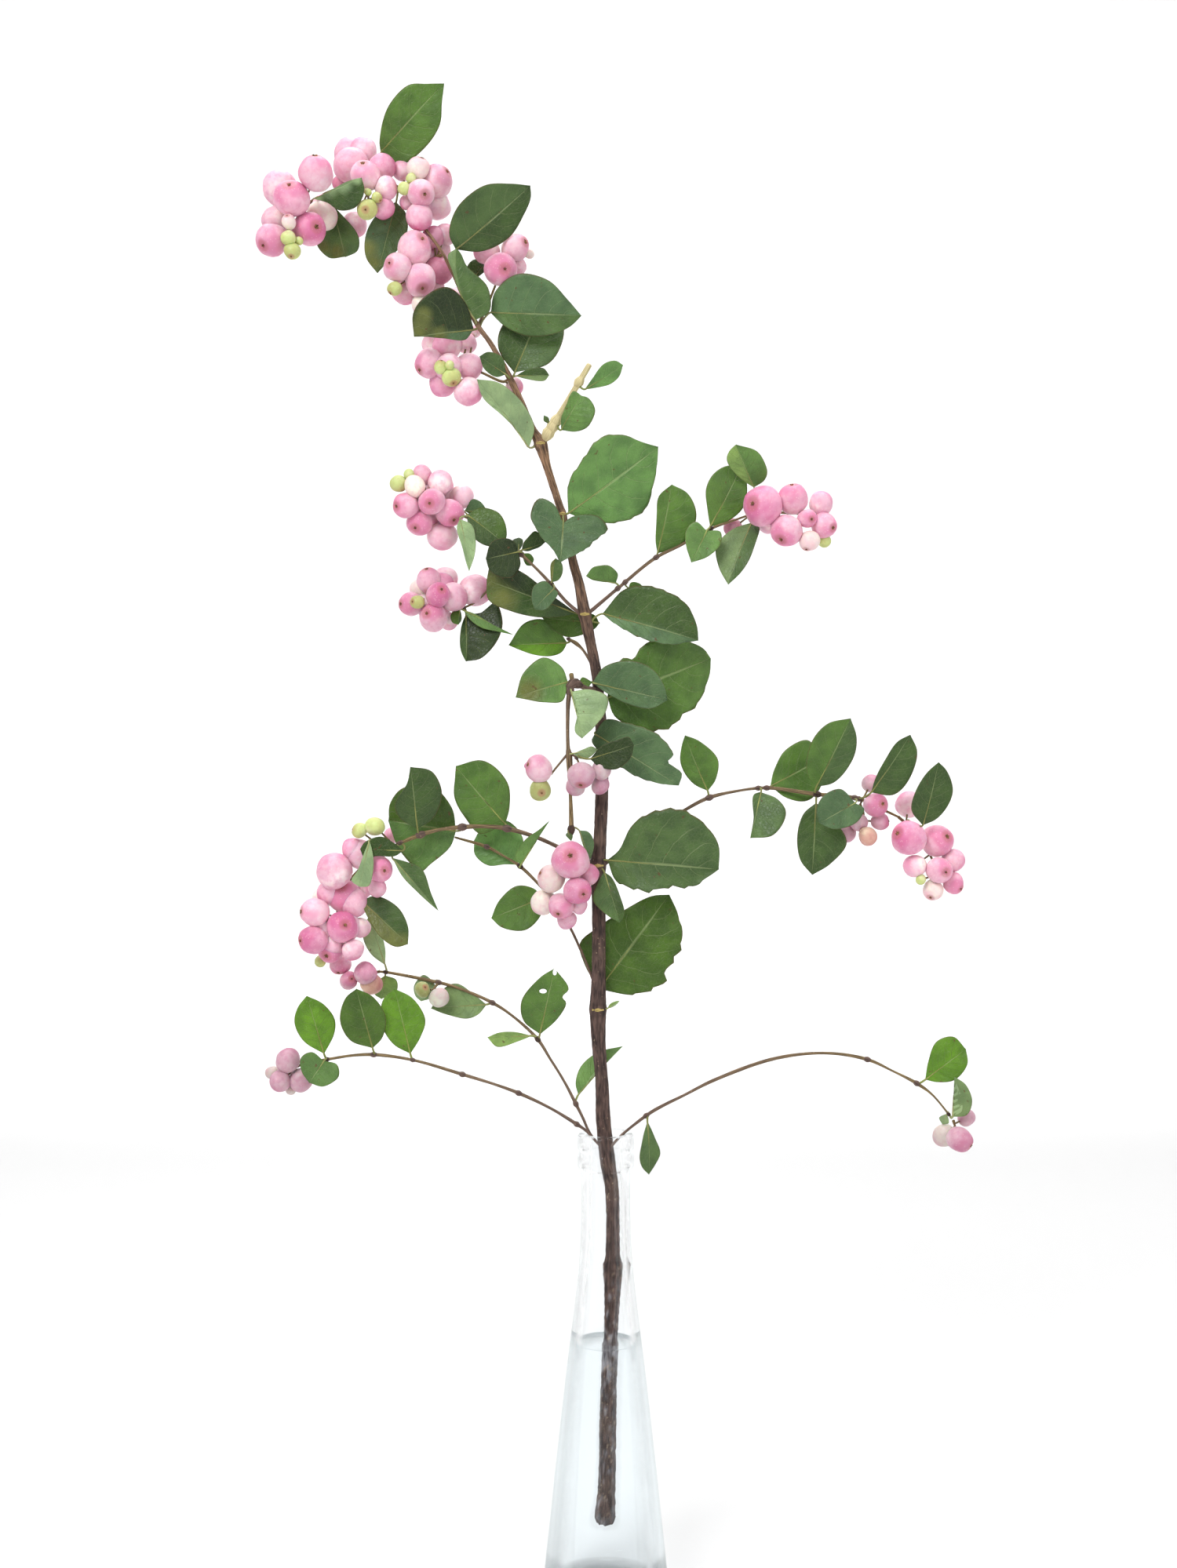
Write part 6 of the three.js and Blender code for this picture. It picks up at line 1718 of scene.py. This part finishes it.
class Bunches:
    """The bunches of berries, each with its calyxes and stalk."""

    SEGMENTS = 28
    RINGS = 18
    SQUAT = 0.97  # half the berry's height, for a radius of 1
    DIMPLE, DIMPLE_RADIUS = 0.13, 0.22
    LOBES = 5
    CUP = ((0.07, 0.78), (0.08, 0.9), (0.035, 0.92), (0.015, 0.84))  # radius and height of the calyx's rings
    LOBE_OUT, LOBE_UP = 0.06, 0.045  # how far a lobe stands out and up from its ring
    EDGE = 0.95  # calyxes seen further out than this share of the radius are drawn there
    STALK_RADII = (0.75, 0.5)
    STALK_SIDES = 7
    THIN_RADIUS = 0.45
    THIN_SIDES = 5

    def __init__(self, palette: Palette) -> None:
        """Keeps the materials and makes the berry and the node tree that all bunches share.

        Args:
            palette: The part's materials.
        """
        self.palette = palette
        self.chance = np.random.default_rng(SEED)
        self.template = self.berry()
        self.tree = self.scatter()

    @staticmethod
    def settled(spec: Bunch) -> list[Berry]:
        """Places a bunch's berries in depth, front to back.

        Args:
            spec: The bunch: its front depth and its berries.

        Returns:
            The berries.
        """
        placed: list[Berry] = []
        for column, row, size, *depth in spec.berries:
            radius = size * SCALE / 2
            deep = depth[0] if depth else spec.front
            for other in placed:
                flat = math.hypot(column - other.place[0], row - other.place[1]) * SCALE
                reach = PRESS * (radius + other.radius)
                if not depth and flat < reach:
                    deep = min(deep, other.deep - math.sqrt(reach * reach - flat * flat))
            placed.append(Berry((column, row), radius, at((column, row, deep)), deep))
        return placed

    def berry(self) -> bpy.types.Object:
        """Makes one round berry of radius 1 with its calyx toward +Z.

        Returns:
            The berry, which all bunches copy.
        """
        rings, around = self.RINGS, self.SEGMENTS
        points, heights, faces = [], [], []
        for r in range(1, rings):
            lat = -math.pi / 2 + math.pi * r / rings
            wide = math.cos(lat)
            tall = self.SQUAT * math.sin(lat)
            tall -= self.DIMPLE * math.exp(-((wide / self.DIMPLE_RADIUS) ** 2)) * (1 if lat > 0 else -0.5)
            for s in range(around):
                angle = 2 * math.pi * s / around
                points.append((wide * math.cos(angle), wide * math.sin(angle), tall))
                heights.append(math.sin(lat) * 0.5 + 0.5)
        for r in range(rings - 2):
            for s in range(around):
                a, b = r * around + s, r * around + (s + 1) % around
                faces.append((a, b, b + around, a + around))
        south, north = len(points), len(points) + 1
        points += [(0, 0, -self.SQUAT + self.DIMPLE / 2), (0, 0, self.SQUAT - self.DIMPLE)]
        heights += [0.0, 1.0]
        last = (rings - 2) * around
        for s in range(around):
            faces.append((south, (s + 1) % around, s))
            faces.append((last + s, last + (s + 1) % around, north))
        calyx = [False] * len(faces)
        self.crown(points, heights, faces, calyx)
        mesh = bpy.data.meshes.new("berry_template")
        mesh.from_pydata(points, [], faces)
        mesh.attributes.new("height", "FLOAT", "POINT").data.foreach_set("value", heights)
        mesh.attributes.new("calyx", "BOOLEAN", "FACE").data.foreach_set("value", calyx)
        made = bpy.data.objects.new("berry_template", mesh)
        bpy.context.scene.collection.objects.link(made)
        return made

    @staticmethod
    def crown(points: list, heights: list, faces: list, calyx: list) -> None:
        """Adds the dry calyx: five small curled lobes on a short cup.

        Args:
            points: Points of the berry, added to.
            heights: Their heights from stalk to calyx, added to.
            faces: Faces of the berry, added to.
            calyx: Which faces are the calyx's, added to.
        """
        first = len(points)
        lobes = Bunches.LOBES
        for level, (wide, tall) in enumerate(Bunches.CUP):
            for k in range(2 * lobes):
                angle = math.pi * k / lobes
                reach, rise = wide, tall
                if level in (1, 2) and k % 2 == 0:
                    reach, rise = wide + Bunches.LOBE_OUT, tall + Bunches.LOBE_UP
                points.append((reach * math.cos(angle), reach * math.sin(angle), rise))
                heights.append(1.0)
        ring = 2 * lobes
        for level in range(3):
            for k in range(ring):
                a, b = first + level * ring + k, first + level * ring + (k + 1) % ring
                faces.append((a, b, b + ring, a + ring))
        faces.append(tuple(first + k for k in range(ring - 1, -1, -1)))
        faces.append(tuple(first + 3 * ring + k for k in range(ring)))
        calyx += [True] * (3 * ring + 2)

    def scatter(self) -> bpy.types.NodeTree:
        """Builds the node tree that puts a berry on each point of a bunch.

        Returns:
            The Geometry Nodes tree.
        """
        tree = bpy.data.node_groups.new("berries_on_points", "GeometryNodeTree")
        face = tree.interface
        kinds = {
            "Geometry": "Geometry",
            "Berry": "Object",
            "Skin": "Material",
            "Calyx": "Material",
            "Unevenness": "Float",
            "Seed": "Float",
        }
        for name, kind in kinds.items():
            face.new_socket(name, in_out="INPUT", socket_type="NodeSocket" + kind)
        face.new_socket("Geometry", in_out="OUTPUT", socket_type="NodeSocketGeometry")
        nodes = Nodes(tree)
        node = nodes.node
        given = node("NodeGroupInput")
        berry = node("GeometryNodeObjectInfo", {"Object": given.outputs["Berry"], "As Instance": True})
        size = node("GeometryNodeInputNamedAttribute", {"Name": "size"}, data_type="FLOAT_VECTOR")
        spin = node("GeometryNodeInputNamedAttribute", {"Name": "spin"}, data_type="QUATERNION")
        placed = node(
            "GeometryNodeInstanceOnPoints",
            {
                "Points": given.outputs["Geometry"],
                "Instance": berry.outputs["Geometry"],
                "Rotation": spin.outputs["Attribute"],
                "Scale": size.outputs["Attribute"],
            },
        )
        real = node("GeometryNodeRealizeInstances", {0: placed.outputs[0]})
        where = node("GeometryNodeInputPosition")
        waves = node(
            "ShaderNodeTexNoise",
            {"Vector": where.outputs[0], "W": given.outputs["Seed"], "Scale": 95.0, "Detail": 1.0},
            noise_dimensions="4D",
        )
        depth = nodes.times(nodes.minus(waves.outputs[0], 0.5), given.outputs["Unevenness"])
        outward = node("GeometryNodeInputNormal")
        push = node("ShaderNodeVectorMath", {0: outward.outputs[0], "Scale": depth}, operation="SCALE")
        calyx = node("GeometryNodeInputNamedAttribute", {"Name": "calyx"}, data_type="BOOLEAN")
        shaped = node("GeometryNodeSetPosition", {"Geometry": real.outputs[0], "Offset": push.outputs[0]})
        skin = {"Geometry": shaped.outputs[0], "Material": given.outputs["Skin"]}
        skinned = node("GeometryNodeSetMaterial", skin)
        crowned = node(
            "GeometryNodeSetMaterial",
            {
                "Geometry": skinned.outputs[0],
                "Selection": calyx.outputs["Attribute"],
                "Material": given.outputs["Calyx"],
            },
        )
        smooth = node("GeometryNodeSetShadeSmooth", {0: crowned.outputs[0]})
        node("NodeGroupOutput", {0: smooth.outputs[0]})
        return tree

    def facing(self, berry: Berry, middle: Array) -> Array:
        """Says where a berry's calyx points.

        Args:
            berry: The berry.
            middle: The middle of its bunch.

        Returns:
            A direction of length one.
        """
        calyx = CALYXES.get(berry.place)
        if calyx:
            size = berry.radius / SCALE
            right = (calyx[0] - berry.place[0]) / size
            up = (berry.place[1] - calyx[1]) / size
            reach = math.hypot(right, up)
            if reach > self.EDGE:
                right, up = right * self.EDGE / reach, up * self.EDGE / reach
            return unit(np.array([right, -math.sqrt(1 - right * right - up * up), up]))
        away = unit(berry.centre - middle + self.chance.normal(0, 1.5, 3))
        away[1] = abs(away[1]) + 0.25
        return unit(away)

    def build(self, name: str, spec: Bunch) -> None:
        """Builds one bunch.

        Args:
            name: Name of the bunch's CAD node.
            spec: The bunch: front depth, stalk and berries.
        """
        berries = self.settled(spec)
        middle = np.mean([b.centre for b in berries], axis=0)
        mesh = bpy.data.meshes.new(name)
        mesh.from_pydata([tuple(b.centre * MM) for b in berries], [], [])
        spins, tints, blushes, pales = [], [], [], []
        for berry in berries:
            turn = Vector(self.facing(berry, middle)).to_track_quat("Z", "Y")
            turn = turn @ Matrix.Rotation(float(self.chance.uniform(0, 6)), 3, "Z").to_quaternion()
            spins += list(turn)
            berry_tone = RIPENESS_AND_SHADE.get(berry.place)
            if berry_tone is None:
                berry_tone = self.chance.choice(["PINK", "PINK", "PINK", "PINK", "DEEP", "ROSE"])
            colours = Ripeness[str(berry_tone)].value
            for into, colour in zip((tints, blushes, pales), colours):
                # random variation, times the painted shade of the bunch
                vary = self.chance.uniform(0.94, 1.06) * SHADED_BUNCHES.get(name, 1.0)
                into += [min(c * vary, 1.0) for c in linear(colour)] + [1.0]
        sizes = []
        for berry in berries:
            shape = (*self.chance.uniform(0.96, 1.04, 2), self.chance.uniform(1.0, 1.1))
            sizes += [berry.radius * MM * share for share in shape]
        mesh.attributes.new("size", "FLOAT_VECTOR", "POINT").data.foreach_set("vector", sizes)
        mesh.attributes.new("spin", "QUATERNION", "POINT").data.foreach_set("value", spins)
        for key, values in (("tint", tints), ("blush", blushes), ("pale", pales)):
            mesh.attributes.new(key, "FLOAT_COLOR", "POINT").data.foreach_set("color", values)
        made = bpy.data.objects.new(name + "_berries", mesh)
        bpy.context.scene.collection.objects.link(made)
        self.bake(made, float(len(name)))
        dress_piece(made, "berry", name)
        self.stalks(name, spec, berries)
        LOG.info("bunch %s: %d berries", name, len(berries))

    def bake(self, made: bpy.types.Object, seed: float) -> None:
        """Runs the node tree on a bunch's points and keeps the plain mesh that comes out.

        Args:
            made: The object that holds the points.
            seed: Number that makes the bunch's unevenness its own.
        """
        grow = made.modifiers.new("grow", "NODES")
        grow.node_group = self.tree
        values = {
            "Berry": self.template,
            "Skin": self.palette.berry,
            "Calyx": self.palette.calyx,
            "Unevenness": BERRY_UNEVENNESS,
            "Seed": seed,
        }
        for item in self.tree.interface.items_tree:
            if item.in_out == "INPUT" and item.name in values:
                grow[item.identifier] = values[item.name]
        made.update_tag()
        graph = bpy.context.evaluated_depsgraph_get()
        graph.update()
        ready = made.evaluated_get(graph)
        grown = bpy.data.meshes.new_from_object(ready, preserve_all_data_layers=True, depsgraph=graph)
        made.modifiers.clear()
        made.data = grown

    def stalks(self, name: str, spec: Bunch, berries: list[Berry]) -> None:
        """Adds the bunch's stalk and the short stalks of its berries.

        Args:
            name: Name of the bunch.
            spec: The bunch.
            berries: Its berries in place.
        """
        maker = MeshMaker()
        path = [at((c, r, d)) for c, r, _, d in spec.stalk]
        line = spline(path, 10 * len(path))
        maker.tube(line, np.linspace(*self.STALK_RADII, len(line)), TWIG_GREEN, self.STALK_SIDES)
        for berry in berries:
            near = line[int(np.argmin(np.linalg.norm(line - berry.centre, axis=1)))]
            if np.linalg.norm(near - berry.centre) > berry.radius:
                thin = spline([near, berry.centre], 4)
                maker.tube(thin, np.full(4, self.THIN_RADIUS), TWIG_GREEN, self.THIN_SIDES)
        dress_piece(maker.piece(name + "_stalks", [self.palette.bark]), "berry")

    def all(self) -> None:
        """Builds every bunch and puts the shared berry away."""
        for name, spec in BUNCHES.items():
            self.build(name, spec)
        bpy.data.objects.remove(self.template)


@dataclass
class Bottle:
    """The clear bottle and the water in it, both turned about the axis."""

    palette: Palette
    segments: int = 112
    outside: Sequence[tuple[float, float]] = (
        (0, 1.2), (14, 1.0), (20, 0.4), (23.5, 0), (26.2, 0), (27.6, 0.35), (28.6, 1.3), (29.1, 3),
        (29.1, 5), (28.7, 8.5), (27.6, 20), (25.6, 38), (23.9, 55), (20.6, 84), (17.8, 108), (15.6, 125),
        (13.8, 140), (12.7, 150), (12.0, 159), (11.6, 168), (11.4, 178), (11.35, 190), (11.4, 196.6),
        (11.9, 197.4), (12.8, 197.9), (13.1, 199), (13.1, 203), (12.9, 203.9), (12.25, 204.5),
        (12.2, 205.2), (12.4, 205.9), (13.0, 206.5), (13.1, 207.5), (13.1, 211.6), (12.8, 212.8),
        (12.0, 213.5),
    )
    inside: Sequence[tuple[float, float]] = (
        (10.6, 213.7), (9.2, 213.5), (8.3, 212.7), (7.9, 211), (7.8, 205), (7.8, 196), (7.85, 184),
        (7.95, 172), (8.3, 164), (8.9, 156), (9.9, 147), (10.9, 139.5), (12.7, 125), (14.8, 108),
        (17.7, 84), (20.9, 55), (23.2, 30), (24.6, 14), (24.4, 11), (23.4, 8.7), (21.4, 7.5), (18, 6.9),
        (9, 6.5), (0, 6.4),
    )

    def turned(
        self, name: str, outline: Sequence[tuple[float, float]], material: bpy.types.Material
    ) -> bpy.types.Object:
        """Turns an outline that starts and ends on the axis into a closed body.

        Args:
            name: Name of the piece.
            outline: Radius and height in mm, going outward, up and back to the axis.
            material: The body's material.

        Returns:
            The piece.
        """
        count = self.segments
        angles = np.linspace(0, 2 * math.pi, count, endpoint=False)
        rings = outline[1:-1]
        points = [np.array([[0, 0, outline[0][1]]])]
        round_one = np.stack([np.cos(angles), np.sin(angles), np.zeros(count)], axis=1)
        points += [round_one * radius + (0, 0, height) for radius, height in rings]
        points.append(np.array([[0, 0, outline[-1][1]]]))
        faces: list[tuple[int, ...]] = [(0, 1 + (s + 1) % count, 1 + s) for s in range(count)]
        for r in range(len(rings) - 1):
            for s in range(count):
                a, b = 1 + r * count + s, 1 + r * count + (s + 1) % count
                faces.append((a, b, b + count, a + count))
        top = 1 + (len(rings) - 1) * count
        end = top + count
        faces += [(top + s, top + (s + 1) % count, end) for s in range(count)]
        maker = MeshMaker()
        flat = np.vstack(points)
        maker.add(flat, faces, np.ones(3), flat[:, [0, 2]] / 100)
        return maker.piece(name, [material])

    def glass(self) -> None:
        """Builds the bottle."""
        made = self.turned("bottle_of_clear_glass", [*self.outside, *self.inside], self.palette.glass)
        dress_piece(made, "glass", "glass_bottle")

    def water(self) -> None:
        """Builds the water, a touch into the glass so that no air shows between, with its curved edge."""
        wall = [(r + 0.05, z) for r, z in reversed(self.inside) if 0 < r and z < WATER_LEVEL - 4]
        wall[0] = (wall[0][0], wall[0][1] - 0.02)
        rim = float(np.interp(WATER_LEVEL, [108, 125], [14.8, 12.7]))
        climb = ((rim + 0.06, 0.8), (rim - 0.5, 0.3), (rim - 1.4, 0.03))
        edge = [(radius, WATER_LEVEL + height) for radius, height in climb]
        face = [(radius, WATER_LEVEL - 0.05) for radius in (rim - 4, 2, 0)]
        outline = [(0, 6.38), *wall, *edge, *face]
        made = self.turned("water_body", outline, self.palette.water)
        dress_piece(made, "water", "water")


class Studio:
    """Floor, backdrop, lights, world and camera."""

    LENS = 40.47
    SENSOR = 36.0
    LAMPS = (  # name, place and aim in metres, width of the square in metres, power in watts
        ("key", (-0.9, -1.6, 1.8), (0, 0, 0.45), 1.0, 34),
        ("fill", (1.6, -1.4, 0.9), (0, 0, 0.4), 1.6, 13),
        ("top", (0.1, 0.2, 2.1), (0, 0, 0.4), 1.2, 14),
        ("wash", (0, 0.9, 2.4), (0, 2.0, 0.7), 1.8, 16),
    )

    def backdrop(self) -> None:
        """Builds the pale seamless floor that curves up behind the part."""
        profile = [(-2.2, 0.0), (-0.6, 0.0), (0.6, 0.0), (1.2, 0.0)]
        bends = np.linspace(0.15, math.pi / 2, 12)
        profile += [(1.2 + 0.8 * math.sin(bend), 0.8 - 0.8 * math.cos(bend)) for bend in bends]
        profile += [(2.0, 3.4)]
        points = [(x, y, z) for y, z in profile for x in (-3.0, 3.0)]
        faces = [(2 * i, 2 * i + 1, 2 * i + 3, 2 * i + 2) for i in range(len(profile) - 1)]
        mesh = bpy.data.meshes.new("floor_and_backdrop")
        mesh.from_pydata(points, [], faces)
        mesh.polygons.foreach_set("use_smooth", [True] * len(faces))
        mesh.materials.append(StudioFinish("studio_paper").make())
        made = bpy.data.objects.new("floor_and_backdrop", mesh)
        bpy.context.scene.collection.objects.link(made)

    def light(
        self, name: str, place: Sequence[float], aim: Sequence[float], size: float, power: float
    ) -> None:
        """Adds one soft lamp.

        Args:
            name: Name of the lamp.
            place: Where it stands, in metres.
            aim: The point that it faces.
            size: Width of its square in metres.
            power: Power in watts.
        """
        lamp = bpy.data.lights.new(name, "AREA")
        lamp.size = size
        lamp.energy = power
        made = bpy.data.objects.new(name, lamp)
        made.location = place
        made.rotation_euler = (Vector(aim) - Vector(place)).to_track_quat("-Z", "Y").to_euler()
        bpy.context.scene.collection.objects.link(made)

    def lights(self) -> None:
        """Sets the soft lamps and a white world, brighter behind and above."""
        for lamp in self.LAMPS:
            self.light(*lamp)
        world = bpy.data.worlds.new("studio_world")
        world.use_nodes = True
        tree = world.node_tree
        nodes = Nodes(tree)
        where = nodes.node("ShaderNodeTexCoord").outputs["Generated"]
        way = nodes.node("ShaderNodeSeparateXYZ", {0: where})
        behind = nodes.node("ShaderNodeMapRange", {0: way.outputs[1], 1: -0.35, 2: 0.35, 3: 0.35, 4: 0.75})
        above = nodes.node("ShaderNodeMapRange", {0: way.outputs[2], 1: 0.1, 2: 1.0, 3: 0.0, 4: 0.3})
        both = nodes.plus(behind.outputs[0], above.outputs[0])
        shade = tree.nodes["Background"]
        shade.inputs[0].default_value = (1, 1, 1, 1)
        tree.links.new(both, shade.inputs[1])
        bpy.context.scene.world = world
        bpy.context.scene.view_settings.view_transform = "Standard"

    def camera(self) -> None:
        """Stands the camera where the picture was seen from."""
        lens = bpy.data.cameras.new("camera")
        lens.sensor_fit = "VERTICAL"
        lens.sensor_height = self.SENSOR
        lens.lens = self.LENS
        lens.clip_start = 0.01
        made = bpy.data.objects.new("camera", lens)
        made.location = tuple(EYE * MM)
        made.rotation_euler = (math.pi / 2, 0, 0)
        bpy.context.scene.collection.objects.link(made)
        bpy.context.scene.camera = made


def write_sizes() -> None:
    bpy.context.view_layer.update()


def main() -> None:
    """Builds the studio and every piece in order."""
    logging.basicConfig(level=logging.INFO, format="%(message)s")
    studio = Studio()
    studio.camera()
    studio.backdrop()
    studio.lights()
    palette = Palette()
    grown = Twigs(palette)
    grown.stem()
    grown.twigs()
    grown.leaves()
    Bunches(palette).all()
    bottle = Bottle(palette)
    bottle.glass()
    bottle.water()
    write_sizes()


if __name__ == "__main__":
    main()
